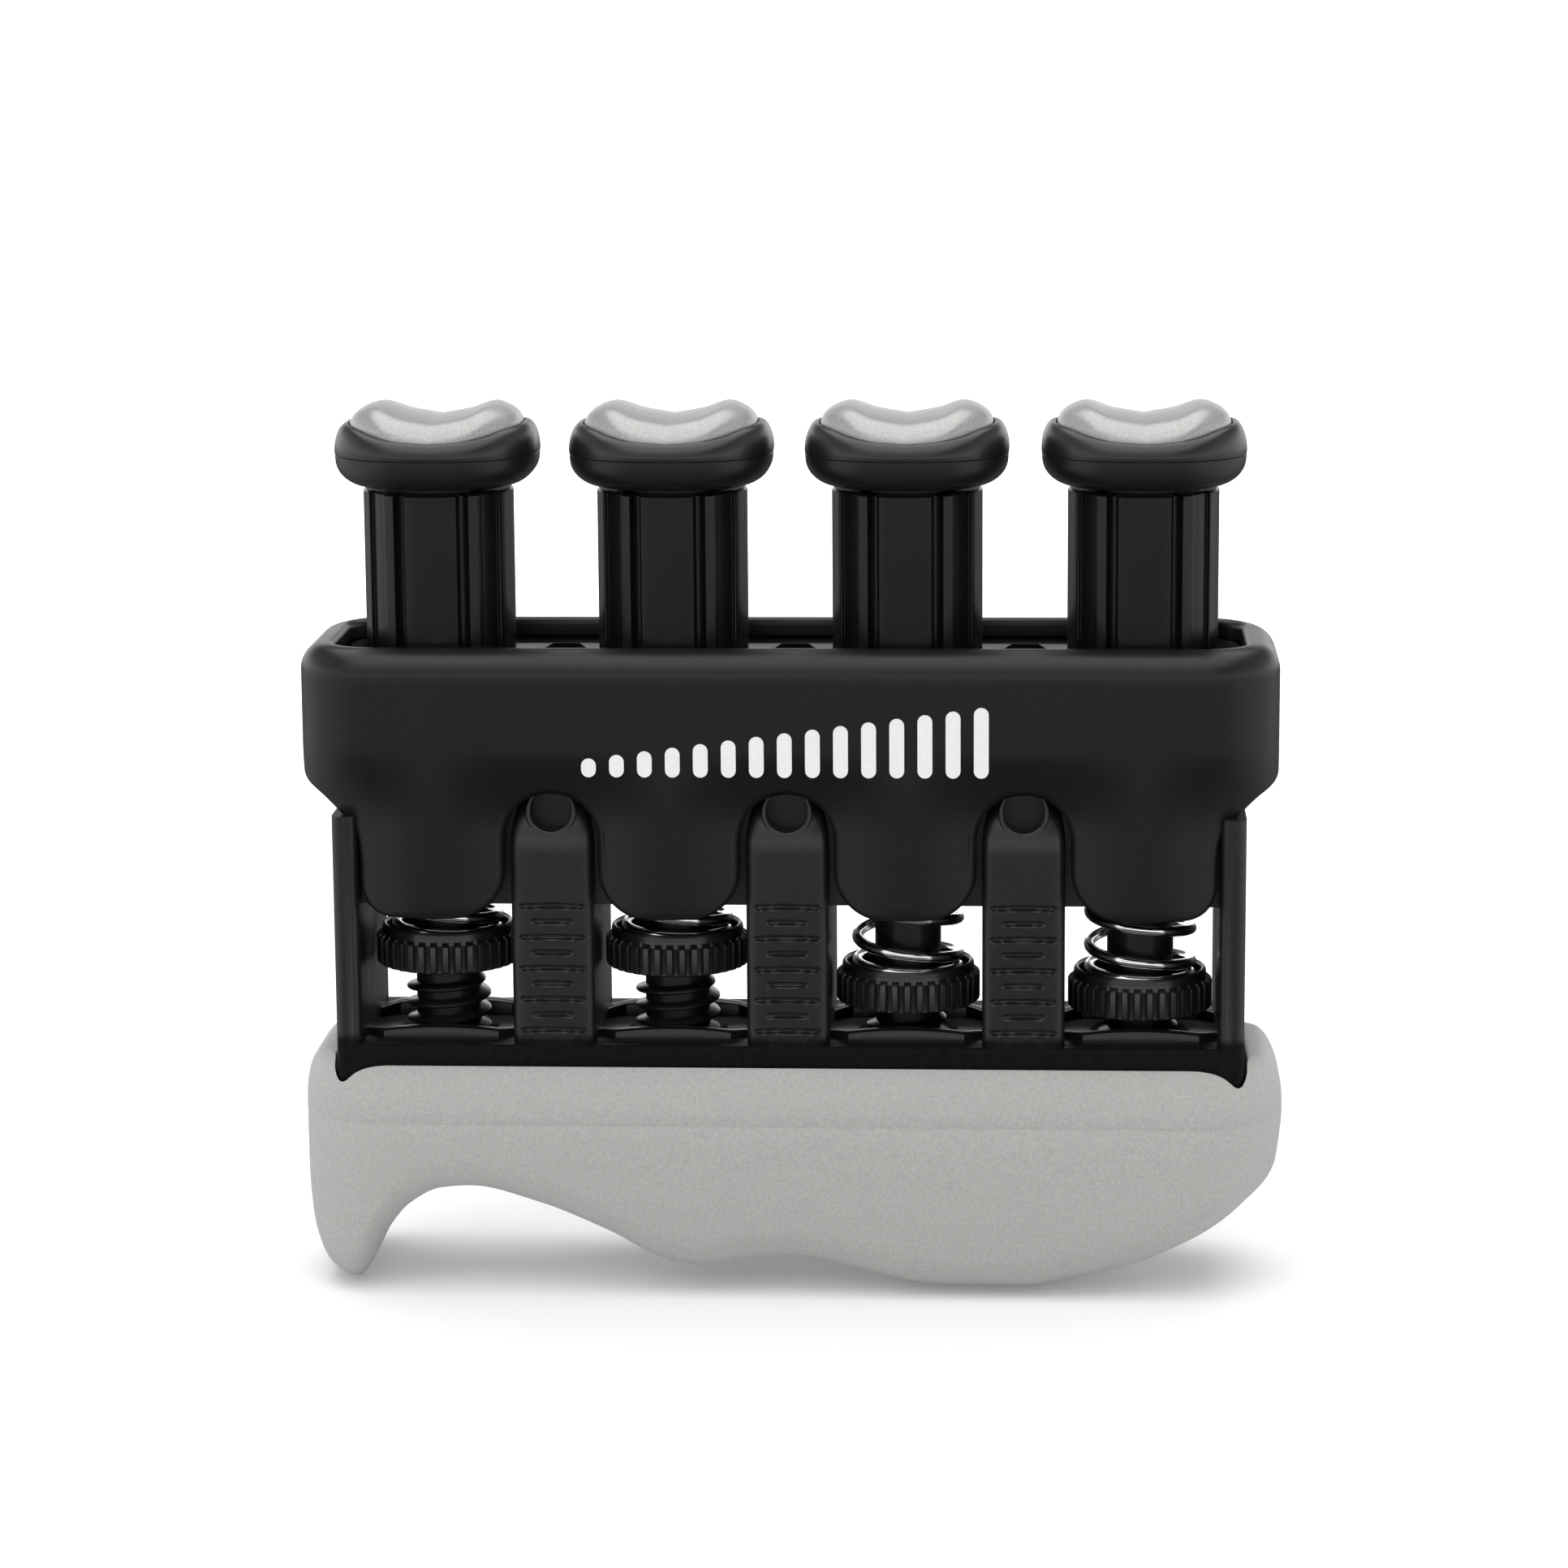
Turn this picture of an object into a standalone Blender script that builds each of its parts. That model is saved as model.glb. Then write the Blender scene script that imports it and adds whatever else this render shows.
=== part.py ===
"""Four-finger hand exerciser: four sprung finger buttons over a windowed frame with a moulded palm grip.

Frame: +X along the row of buttons, -Y the front, +Z up. The origin is on the floor under the middle.
Lengths below are in millimetres and are turned into metres as each mesh is made.
"""

import math

import bmesh
import bpy
from mathutils import Matrix, Vector

MM = 0.001

# Row of buttons
PITCH = 20.0
BUTTON_X = [PITCH * (i - 1.5) for i in range(4)]
COLUMN_X = [PITCH * (i - 1) for i in range(3)]

# Clearance between pieces that touch
GAP = 0.3

# Housing: a band round the top of the frame that drapes down as four sleeves at the front and the back
HOUSING_HALF = (41.5, 10.7)
HOUSING_CORNER = 6.5
HOUSING_TOP = 56.3
HOUSING_WALL = 1.6
RIM_ROUND = 2.3
RIM_WIDTH = 3.0
RIM_THICK = 1.5
SHOULDER = [(41.5, 44.7), (38.6, 42.2), (37.3, 41.0), (36.6, 39.6), (36.4, 38.0)]
SLEEVE_BOTTOM = 33.3
SLEEVE_HALF = 6.0
SLEEVE_ROUND = 3.9
SLEEVE_OUTER_ROUND = 2.8
ARCH_TOP = 43.8
FLUTE_HALF = [0.0, 2.0, 4.0, 6.0]
FLUTE_SHARE = [(SLEEVE_BOTTOM - 1, 1.0), (41.2, 1.0), (43.4, 0.6), (45.4, 0.2), (47.4, 0.0)]

# Frame: base rail, five columns, four guide bores and a deck
FRAME_HALF = (38.7, 6.0)
FRAME_BOTTOM = 11.4
RAIL_TOP = 22.0
LIP_TOP = 22.9
LIP_DEPTH = 1.5
LIP_HALF = 4.85
WINDOW_HALF = 6.5
WINDOW_TOP = 33.8
DECK_Z = (51.8, 54.95)
BORE_RADIUS = 7.1
DECK_HOLE_RADIUS = 6.65
GUIDE_RADIUS = 7.8
STEP_Z = 50.5
SCREW_HOLE_RADIUS = 3.95
SCREW_HOLE_BOTTOM = 12.4
DECK_SLOT = (2.6, 3.6, 3.0)
POCKET_RADIUS = 1.9
POCKET_Z = 42.2
POCKET_DEPTH = 1.6

# Palm grip
GRIP_HALF = (42.2, 10.4)
GRIP_TOP = 20.8
GRIP_TOP_HALF = (40.0, 7.6)
GRIP_TOP_ROUND = 4.6
GRIP_SEAM_Z = 15.4
GRIP_EDGE_RISE = 4.0
GRIP_LAND = 4.0
GRIP_LAND_LOSS = 2.2
GRIP_PLAN_ROUND = 8.0

# Plunger
PLUNGER_RADIUS = 6.4
PLUNGER_Z = (48.9, 68.9)
FLANGE = (6.85, 1.3)
SPRING_BORE = 5.05
SEAT_Z = 56.0
SEAT_RADIUS = 4.5
HOLLOW_TOP = 66.5
SPIGOT = (4.6, 70.7)
LAND_EDGE = 2.3
GROOVE_EDGE = 3.05
RIB_EDGE = 4.0
GROOVE_DEPTH = 0.7
GROOVE_SLOPE = 0.2
STEP_DEPTH = 0.35

# Button cap and finger pad
CAP_HALF = (8.65, 8.2)
CAP_CORNER = 7.2
CAP_Z = (69.2, 71.9)
CAP_RIM = [(0.0, 73.3), (2.6, 73.46), (5.0, 73.9), (6.6, 74.35), (8.65, 74.65)]
CAP_BULGE_Z = 72.15
CAP_SOCKET = (4.9, 71.0)
CAP_FLOOR = 72.5
CAP_LIP = 1.2
PAD_TOP = [(0.0, 75.0), (2.6, 75.45), (4.9, 76.15), (6.2, 75.98), (7.1, 75.9), (8.65, 75.6)]
PAD_FALL = 0.9
PAD_ROLL = (2.2, 1.5)

# Adjuster: thumb wheel, screw and rod in one piece
WHEEL_BOTTOM = [27.4, 27.3, 24.2, 23.7]
WHEEL_TURN = [0.0, 3.0, 6.0, 2.0]
WHEEL_RADIUS = 6.2
WHEEL_TEETH = 36
TOOTH_DEPTH = 0.35
KNURL_HEIGHT = 2.8
WHEEL_HEIGHT = 3.6
CUP_FLOOR = 2.2
CUP_RADIUS = 5.2
ROD_RADIUS = 2.85
ROD_TOP = 20.0
THREAD_RADIUS = 3.65
THREAD_ROOT = 2.8
THREAD_PITCH = 1.42
SCREW_LENGTH = 10.6
NECK_LENGTH = 1.0
THREAD_STEPS = 11

# Spring
WIRE_RADIUS = 0.475
COIL_RADIUS = 4.375
ACTIVE_PITCH = 3.1
CLOSED_TURNS = 1.0


def clear_scene():
    for item in list(bpy.data.objects):
        bpy.data.objects.remove(item, do_unlink=True)


def material(name, colour, roughness, metallic=0.0):
    made = bpy.data.materials.new(name)
    made.use_nodes = True
    shader = made.node_tree.nodes["Principled BSDF"]
    shader.inputs["Base Color"].default_value = (*colour, 1.0)
    shader.inputs["Roughness"].default_value = roughness
    shader.inputs["Metallic"].default_value = metallic
    return made


def add(name, mesh, finish=None, place=(0.0, 0.0, 0.0)):
    """A new object at a place given in millimetres."""
    made = bpy.data.objects.new(name, mesh)
    made.location = Vector(place) * MM
    bpy.context.scene.collection.objects.link(made)
    if finish and finish.name not in mesh.materials:
        mesh.materials.append(finish)
    return made


def helper(name, mesh):
    """An object that only shapes another one."""
    made = add(name, mesh)
    made.hide_render = True
    made.display_type = "WIRE"
    return made


def shape_with(target, operation, other):
    step = target.modifiers.new(f"{operation}_{other.name}", "BOOLEAN")
    step.operation = operation
    step.object = other
    step.solver = "EXACT"


def finish_mesh(name, bm):
    """Scales a millimetre bmesh to metres, turns its faces outwards and smooths its round stretches."""
    bmesh.ops.recalc_face_normals(bm, faces=bm.faces)
    if bm.calc_volume(signed=True) < 0:
        bmesh.ops.reverse_faces(bm, faces=bm.faces)
    bmesh.ops.scale(bm, vec=(MM, MM, MM), verts=bm.verts)
    mesh = bpy.data.meshes.new(name)
    bm.to_mesh(mesh)
    bm.free()
    mesh.shade_smooth()
    mesh.set_sharp_from_angle(angle=math.radians(35))
    return mesh


def add_rings(bm, rings):
    """A closed skin over rings of equal length, the first and last filled."""
    rows = [[bm.verts.new(point) for point in ring] for ring in rings]
    count = len(rows[0])
    for low, high in zip(rows, rows[1:]):
        for i in range(count):
            j = (i + 1) % count
            bm.faces.new((low[i], low[j], high[j], high[i]))
    bm.faces.new(rows[0])
    bm.faces.new(rows[-1])


def from_rings(name, *stacks):
    bm = bmesh.new()
    for rings in stacks:
        add_rings(bm, rings)
    return finish_mesh(name, bm)


def level(outline, z):
    return [(x, y, z) for x, y in outline]


def circle(radius, sides, centre=(0.0, 0.0)):
    turn = 2 * math.pi / sides
    return [
        (centre[0] + radius * math.cos(turn * i), centre[1] + radius * math.sin(turn * i))
        for i in range(sides)
    ]


def rounded_rectangle(half_x, half_y, corner, steps, along=0):
    """Outline points anticlockwise from the +X side, with steps points on each corner's arc.

    along is the number of points added on each straight side.
    """
    corners = [(1, 1), (-1, 1), (-1, -1), (1, -1)]
    arcs = [
        arc(
            (sx * (half_x - corner), sy * (half_y - corner)),
            corner,
            90 * quarter,
            90 * quarter + 90,
            steps - 1,
        )
        for quarter, (sx, sy) in enumerate(corners)
    ]
    points = []
    for this, following in zip(arcs, arcs[1:] + arcs[:1]):
        points += this
        (x0, y0), (x1, y1) = this[-1], following[0]
        shares = [k / (along + 1) for k in range(1, along + 1)]
        points += [(x0 + (x1 - x0) * t, y0 + (y1 - y0) * t) for t in shares]
    return points


def arc(centre, radius, start, end, steps):
    """Points along an arc, its angles in degrees."""
    angles = [math.radians(start + (end - start) * k / steps) for k in range(steps + 1)]
    return [(centre[0] + radius * math.cos(a), centre[1] + radius * math.sin(a)) for a in angles]


def extruded_along_y(outline, half_depth):
    """Two rings: an outline in X and Z, at the front and at the back."""
    return [[(x, y, z) for x, z in outline] for y in (-half_depth, half_depth)]


def box_rings(low, high):
    corners = [(low[0], low[1]), (high[0], low[1]), (high[0], high[1]), (low[0], high[1])]
    return [level(corners, low[2]), level(corners, high[2])]


# ---------------------------------------------------------------- housing


def drape_outline():
    """Front view of the housing's lower edge with its sleeves and arches, closed over the top."""
    half = HOUSING_HALF[0] + 1
    right_shoulder = [(x, z) for x, z in reversed(SHOULDER)]
    points = [(half, HOUSING_TOP + 1), (-half, HOUSING_TOP + 1), (-half, SHOULDER[0][1] + 1)]
    points += [(-x, z) for x, z in SHOULDER]
    outer_x = SHOULDER[-1][0]
    for n, x in enumerate(BUTTON_X):
        left = -outer_x if n == 0 else x - SLEEVE_HALF
        right = outer_x if n == 3 else x + SLEEVE_HALF
        left_round = SLEEVE_OUTER_ROUND if n == 0 else SLEEVE_ROUND
        right_round = SLEEVE_OUTER_ROUND if n == 3 else SLEEVE_ROUND
        if n:
            radius = (left - points[-1][0]) / 2
            middle = points[-1][0] + radius
            points += arc((middle, ARCH_TOP - radius), radius, 180, 0, 10)
        points += arc((left + left_round, SLEEVE_BOTTOM + left_round), left_round, 180, 270, 4)
        points += arc((right - right_round, SLEEVE_BOTTOM + right_round), right_round, 270, 360, 4)
    return points + right_shoulder + [(half, SHOULDER[0][1] + 1)]


def plan(inset):
    """The housing's plan outline moved in by inset, with points to bend at each button's column."""
    half_x, half_y = HOUSING_HALF
    outline = rounded_rectangle(half_x - inset, half_y - inset, HOUSING_CORNER - inset, 5)
    bends = sorted({x + side * d for x in BUTTON_X for d in FLUTE_HALF for side in (-1, 1)})
    bends = [x for x in bends if abs(x) < half_x - HOUSING_CORNER]
    back = [(x, half_y - inset) for x in reversed(bends)]
    front = [(x, inset - half_y) for x in bends]
    return outline[:5] + back + outline[5:15] + front + outline[15:]


def fluted(outline, share, z):
    """The outline at height z, each sleeve's front and back rounded about its bore by a share."""
    half_y = HOUSING_HALF[1]
    ring = []
    for x, y in outline:
        off_axis = min(SLEEVE_HALF, *(abs(x - centre) for centre in BUTTON_X))
        fall = half_y - math.sqrt(half_y**2 - off_axis**2)
        ring.append((x, y * (1 - share * fall / half_y), z))
    return ring


def housing(finish):
    outer = plan(0)
    walls = [fluted(outer, share, z) for z, share in FLUTE_SHARE]
    for k in range(5):
        angle = math.pi / 2 * k / 4
        inset = RIM_ROUND * (1 - math.cos(angle))
        walls.append(level(plan(inset), HOUSING_TOP - RIM_ROUND * (1 - math.sin(angle))))
    made = add("housing", from_rings("housing", walls), finish)
    drape = helper("housing_drape", from_rings("drape", extruded_along_y(drape_outline(), 12)))
    shape_with(made, "INTERSECT", drape)
    lip_under = HOUSING_TOP - RIM_THICK
    end_wall = HOUSING_HALF[0] - FRAME_HALF[0] - GAP
    inner = [
        (min(max(x, end_wall - HOUSING_HALF[0]), HOUSING_HALF[0] - end_wall), y)
        for x, y in plan(HOUSING_WALL)
    ]
    cavity = [fluted(inner, share, z) for z, share in FLUTE_SHARE[1:]]
    cavity.insert(0, fluted(inner, 1.0, SLEEVE_BOTTOM - 2))
    cavity += [level(inner, lip_under), level(plan(RIM_WIDTH), lip_under)]
    cavity.append(level(plan(RIM_WIDTH), HOUSING_TOP + 1))
    shape_with(made, "DIFFERENCE", helper("housing_cavity", from_rings("cavity", cavity)))


# ---------------------------------------------------------------- frame


def frame(finish):
    half_x, half_y = FRAME_HALF
    body = rounded_rectangle(half_x, half_y, 1.2, 3)
    made = add(
        "frame", from_rings("frame", [level(body, FRAME_BOTTOM), level(body, DECK_Z[0] + 1)]), finish
    )
    deck = rounded_rectangle(half_x, HOUSING_HALF[1] - HOUSING_WALL - GAP, 4.2, 5)
    deck_rings = [level(deck, DECK_Z[0]), level(deck, DECK_Z[1] - GAP)]
    shape_with(made, "UNION", helper("frame_deck", from_rings("deck", deck_rings)))
    guides = [
        [level(circle(GUIDE_RADIUS, 24, (x, 0)), z) for z in (WINDOW_TOP, DECK_Z[0] + 0.5)]
        for x in BUTTON_X
    ]
    shape_with(made, "UNION", helper("frame_guides", from_rings("guides", *guides)))
    lips = []
    for x in BUTTON_X:
        for side in (-1, 1):
            inner = side * (half_y - LIP_DEPTH)
            outer = side * half_y
            top = [
                (x - LIP_HALF - 1.4, outer, RAIL_TOP - 0.5),
                (x - LIP_HALF, outer, LIP_TOP),
                (x + LIP_HALF, outer, LIP_TOP),
                (x + LIP_HALF + 1.4, outer, RAIL_TOP - 0.5),
            ]
            lips.append([top, [(px, inner, pz) for px, _, pz in top]])
    windows = [
        box_rings((x - WINDOW_HALF, -9, RAIL_TOP), (x + WINDOW_HALF, 9, WINDOW_TOP)) for x in BUTTON_X
    ]
    shape_with(made, "DIFFERENCE", helper("frame_windows", from_rings("windows", *windows)))
    shape_with(made, "UNION", helper("frame_lips", from_rings("lips", *lips)))
    bores = []
    for x in BUTTON_X:
        profile = [
            (BORE_RADIUS, WINDOW_TOP - 0.4),
            (BORE_RADIUS, STEP_Z),
            (DECK_HOLE_RADIUS, STEP_Z),
            (DECK_HOLE_RADIUS, DECK_Z[1] + 1),
        ]
        bores.append([level(circle(r, 28, (x, 0)), z) for r, z in profile])
    shape_with(made, "DIFFERENCE", helper("frame_bores", from_rings("bores", *bores)))
    holes = [
        [level(circle(SCREW_HOLE_RADIUS, 16, (x, 0)), z) for z in (SCREW_HOLE_BOTTOM, RAIL_TOP + 2)]
        for x in BUTTON_X
    ]
    shape_with(made, "DIFFERENCE", helper("frame_holes", from_rings("holes", *holes)))
    wide, deep, down = DECK_SLOT
    slots = [
        box_rings((x - wide / 2, -deep / 2, DECK_Z[1] - down), (x + wide / 2, deep / 2, DECK_Z[1] + 1))
        for x in COLUMN_X
    ]
    shape_with(made, "DIFFERENCE", helper("frame_slots", from_rings("slots", *slots)))
    pockets = []
    for x in COLUMN_X:
        for side in (-1, 1):
            ends = (side * (half_y - POCKET_DEPTH), side * (half_y + 3))
            ring = circle(POCKET_RADIUS, 12)
            pockets.append([[(x + px, y, POCKET_Z + pz) for px, pz in ring] for y in ends])
    shape_with(made, "DIFFERENCE", helper("frame_pockets", from_rings("pockets", *pockets)))


# ---------------------------------------------------------------- palm grip


UNDERSIDE = [
    (-42.2, 7.0),
    (-41.4, 2.9),
    (-40.0, 0.6),
    (-38.7, 0.0),
    (-37.8, 0.0),
    (-36.6, 1.5),
    (-35.3, 4.2),
    (-33.0, 7.0),
    (-30.2, 8.4),
    (-27.6, 8.6),
    (-21.6, 7.15),
    (-15.9, 4.8),
    (-10.2, 2.05),
    (-7.6, 1.7),
    (-3.0, 2.35),
    (0.5, 2.6),
    (6.4, 1.35),
    (11.5, 0.15),
    (15.0, 0.0),
    (20.0, 0.0),
    (24.1, 0.75),
    (30.0, 2.35),
    (35.8, 5.1),
    (40.0, 7.9),
    (41.6, 10.0),
    (42.2, 14.0),
]


def curve_through(points, x):
    """Height at x of a smooth curve through the points that never runs past one of them."""
    rises = [(z1 - z0) / (x1 - x0) for (x0, z0), (x1, z1) in zip(points, points[1:])]
    slopes = [rises[0]]
    for before, after in zip(rises, rises[1:]):
        level_here = before * after <= 0
        slopes.append(0.0 if level_here else 2 * before * after / (before + after))
    slopes.append(rises[-1])
    x = min(max(x, points[0][0]), points[-1][0])
    for k, ((x0, z0), (x1, z1)) in enumerate(zip(points, points[1:])):
        if x <= x1:
            width = x1 - x0
            t = (x - x0) / width
            start = (1 + 2 * t) * (1 - t) ** 2 * z0 + t * (1 - t) ** 2 * width * slopes[k]
            return start + t * t * (3 - 2 * t) * z1 + t * t * (t - 1) * width * slopes[k + 1]


def grip_section(x):
    """The grip's closed outline in Y and Z at one x."""
    half_x, half_y = GRIP_HALF
    past = max(0.0, abs(x) - (half_x - GRIP_PLAN_ROUND))
    widest = half_y - GRIP_PLAN_ROUND + math.sqrt(max(0.0, GRIP_PLAN_ROUND**2 - past**2))
    over = max(0.0, abs(x) - GRIP_TOP_HALF[0]) / (half_x - GRIP_TOP_HALF[0])
    top = GRIP_TOP - GRIP_TOP_ROUND * (1 - math.sqrt(max(0.0, 1 - over**2)))
    bottom = curve_through(UNDERSIDE, x)
    shoulder = widest - (half_y - GRIP_TOP_HALF[1]) * min(1.0, (top - GRIP_SEAM_Z) / 4)
    land = max(0.5, GRIP_LAND - GRIP_LAND_LOSS * (half_y - widest))
    edge_rise = min(GRIP_EDGE_RISE, (GRIP_SEAM_Z - bottom) * 0.8)
    side = [
        (shoulder, top),
        (shoulder + (widest - shoulder) * 0.45, top - (top - GRIP_SEAM_Z) * 0.12),
        (shoulder + (widest - shoulder) * 0.85, top - (top - GRIP_SEAM_Z) * 0.5),
        (widest, GRIP_SEAM_Z),
    ]
    for k in range(6):
        angle = math.pi / 2 * k / 5
        across = land + (widest - 0.15 - land) * math.cos(angle)
        side.append((across, bottom + edge_rise * (1 - math.sin(angle))))
    loop = side + [(-y, z) for y, z in reversed(side)]
    return [(x, y, z) for y, z in loop]


def grip_stations():
    """Places along the grip for its sections, closer together at the ends and at the toe."""
    half_x = GRIP_HALF[0]
    ends = [half_x - back for back in (0.0, 0.12, 0.45, 1.0, 1.6, 2.2, 3.5)]
    toe = [-37.8 + 0.8 * i for i in range(7)]
    middle = [-31.0 + 2.0 * i for i in range(35)]
    return [-x for x in ends] + toe + middle + list(reversed(ends))


def palm_grip(finish):
    sections = [grip_section(x) for x in grip_stations()]
    made = add("palm_grip", from_rings("palm_grip", sections), finish)
    room = rounded_rectangle(FRAME_HALF[0] + GAP, FRAME_HALF[1] + GAP, 1.5, 3)
    rings = [level(room, FRAME_BOTTOM - GAP), level(room, GRIP_TOP + 2)]
    shape_with(made, "DIFFERENCE", helper("grip_room", from_rings("grip_room", rings)))


# ---------------------------------------------------------------- button parts


def plunger_outline():
    """A circle with a wide land, two grooves, two ribs and two steps at the front and at the back."""

    def front(x, drop):
        return x, -math.sqrt((PLUNGER_RADIUS - drop) ** 2 - x * x)

    half = [
        front(LAND_EDGE, 0),
        front(LAND_EDGE + GROOVE_SLOPE, GROOVE_DEPTH),
        front(GROOVE_EDGE, GROOVE_DEPTH),
        front(GROOVE_EDGE + GROOVE_SLOPE, 0),
        front(RIB_EDGE, 0),
        front(RIB_EDGE + GROOVE_SLOPE, STEP_DEPTH),
    ]
    flank = arc((0, 0), PLUNGER_RADIUS, -36, 36, 3)
    front_half = half + flank[:2]
    quarter_turn = front_half + [(x, -y) for x, y in reversed(front_half)]
    return quarter_turn + [(-x, y) for x, y in reversed(quarter_turn)]


def plunger_mesh():
    outline = plunger_outline()
    angles = [math.atan2(y, x) for x, y in outline]

    def ring(radius, z):
        return [(radius * math.cos(a), radius * math.sin(a), z) for a in angles]

    low, high = PLUNGER_Z
    flange_radius, flange_height = FLANGE
    rings = [
        ring(SPIGOT[0], SPIGOT[1]),
        ring(SPIGOT[0], high),
        level(outline, high),
        level(outline, low + flange_height),
        ring(flange_radius, low + flange_height),
        ring(flange_radius, low),
        ring(SPRING_BORE, low),
        ring(SPRING_BORE, SEAT_Z),
        ring(SEAT_RADIUS, SEAT_Z),
        ring(SEAT_RADIUS, HOLLOW_TOP),
    ]
    return from_rings("plunger", rings)


def cap_outline(inset):
    half_x, half_y = CAP_HALF
    return rounded_rectangle(half_x - inset, half_y - inset, CAP_CORNER - inset, 6, 1)


def cap_swell(angle):
    """A ring round the cap's upper half, which closes in to a rim that climbs towards both ends in X."""
    ring = []
    for x, y in cap_outline(CAP_LIP * (1 - math.cos(angle))):
        rim = curve_through(CAP_RIM, abs(x))
        ring.append((x, y, CAP_BULGE_Z + (rim - CAP_BULGE_Z) * math.sin(angle)))
    return ring


def cap_mesh():
    low, seam = CAP_Z
    radius, top = CAP_SOCKET
    angles = [math.atan2(y, x) for x, y in cap_outline(0)]
    socket = [(radius * math.cos(a), radius * math.sin(a)) for a in angles]
    rings = [
        level(socket, top),
        level(socket, low),
        level(cap_outline(2.75), low),
        level(cap_outline(1.3), low + 0.5),
        level(cap_outline(0.4), low + 1.4),
        level(cap_outline(0.05), seam),
        *[cap_swell(math.pi / 2 * k / 4) for k in range(5)],
        level(cap_outline(CAP_LIP), CAP_FLOOR),
    ]
    return from_rings("button_cap", rings)


def pad_mesh():
    """A saddle with a dip along its middle, its top falling away at the front and the back."""
    edge = CAP_LIP + GAP
    across, down = PAD_ROLL
    quarter = [math.pi / 2 * k / 5 for k in range(6)]
    steps = [(across * (1 - math.cos(a)), down * (1 - math.sin(a))) for a in quarter]
    steps += [(across + 1.6, 0.0), (across + 3.2, 0.0)]
    rings = [level(cap_outline(edge), CAP_FLOOR + GAP)]
    for inset, drop in steps:
        rings.append(
            [
                (x, y, curve_through(PAD_TOP, abs(x)) - drop - PAD_FALL * (y / CAP_HALF[1]) ** 2)
                for x, y in cap_outline(edge + inset)
            ]
        )
    return from_rings("finger_pad", rings)


# ---------------------------------------------------------------- adjuster and spring


def knurled_disc():
    """The wheel's toothed outline at its bottom and at the top of the knurl."""
    count = WHEEL_TEETH * 2
    outline = []
    for i in range(count):
        radius = WHEEL_RADIUS - TOOTH_DEPTH * (i % 2)
        angle = 2 * math.pi * i / count
        outline.append((radius * math.cos(angle), radius * math.sin(angle)))
    return [level(outline, 0.0), level(outline, KNURL_HEIGHT)]


def screw_rings():
    """The core, cut short of the wheel by the thread's own steps, and the rod that guides the spring."""
    core = [level(circle(THREAD_ROOT, THREAD_STEPS), z) for z in (-SCREW_LENGTH, 1.0)]
    rod = [level(circle(ROD_RADIUS, 18), z) for z in (0.8, ROD_TOP - 0.5)]
    rod.append(level(circle(ROD_RADIUS - 0.5, 18), ROD_TOP))
    return core, rod


def thread_rings():
    """Sections of the right-handed ridge that winds up the screw, each a small trapezium."""
    first = -SCREW_LENGTH + 0.6
    turns = (-NECK_LENGTH - 0.5 - first) / THREAD_PITCH
    sections = []
    for i in range(int(turns * THREAD_STEPS) + 1):
        angle = 2 * math.pi * i / THREAD_STEPS
        z = first + THREAD_PITCH * i / THREAD_STEPS
        inside = THREAD_ROOT - 0.4
        profile = [(inside, -0.5), (THREAD_RADIUS, -0.14), (THREAD_RADIUS, 0.14), (inside, 0.5)]
        sections.append([(r * math.cos(angle), r * math.sin(angle), z + rise) for r, rise in profile])
    return sections


def baked(name, source):
    """The mesh of an object with its modifiers applied; the object and its helpers are removed."""
    graph = bpy.context.evaluated_depsgraph_get()
    mesh = bpy.data.meshes.new_from_object(source.evaluated_get(graph))
    mesh.name = name
    helpers = [step.object for step in source.modifiers]
    for item in [source, *helpers]:
        bpy.data.objects.remove(item, do_unlink=True)
    mesh.shade_smooth()
    mesh.set_sharp_from_angle(angle=math.radians(35))
    return mesh


def adjuster_mesh():
    core, rod = screw_rings()
    rim = [level(circle(r, 24), z) for r, z in ((5.85, 1.8), (5.85, 3.1), (5.6, WHEEL_HEIGHT))]
    cup = [level(circle(CUP_RADIUS, 24), z) for z in (CUP_FLOOR, WHEEL_HEIGHT + 1)]
    wheel = helper("wheel", from_rings("wheel", knurled_disc()))
    shape_with(wheel, "UNION", helper("wheel_rim", from_rings("rim", rim)))
    shape_with(wheel, "DIFFERENCE", helper("wheel_cup", from_rings("cup", cup)))
    shape_with(wheel, "UNION", helper("wheel_core", from_rings("core", core)))
    shape_with(wheel, "UNION", helper("wheel_rod", from_rings("rod", rod)))
    shape_with(wheel, "UNION", helper("wheel_thread", from_rings("thread", thread_rings())))
    return baked("adjuster", wheel)


def spring_mesh(name, bottom, top):
    """A left-handed coil between two heights, its end turns closed and the rest evenly open."""
    steps = 10
    wire = circle(WIRE_RADIUS, 5, (COIL_RADIUS, 0.0))
    closed_rise = 2 * WIRE_RADIUS * 1.06
    span = top - bottom - 2 * WIRE_RADIUS - 2 * CLOSED_TURNS * closed_rise
    open_turns = round(span / ACTIVE_PITCH)
    total = open_turns + 2 * CLOSED_TURNS
    rings = []
    for i in range(int(total * steps) + 1):
        turn = i / steps
        low_part = min(turn, CLOSED_TURNS)
        high_part = max(0.0, turn - CLOSED_TURNS - open_turns)
        middle = turn - low_part - high_part
        z = bottom + WIRE_RADIUS + (low_part + high_part) * closed_rise + middle * span / open_turns
        angle = -2 * math.pi * turn
        out = Vector((math.cos(angle), math.sin(angle), 0))
        rings.append([out * r + Vector((0, 0, z + rise)) for r, rise in wire])
    return from_rings(name, rings)


# ---------------------------------------------------------------- assembly


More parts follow.
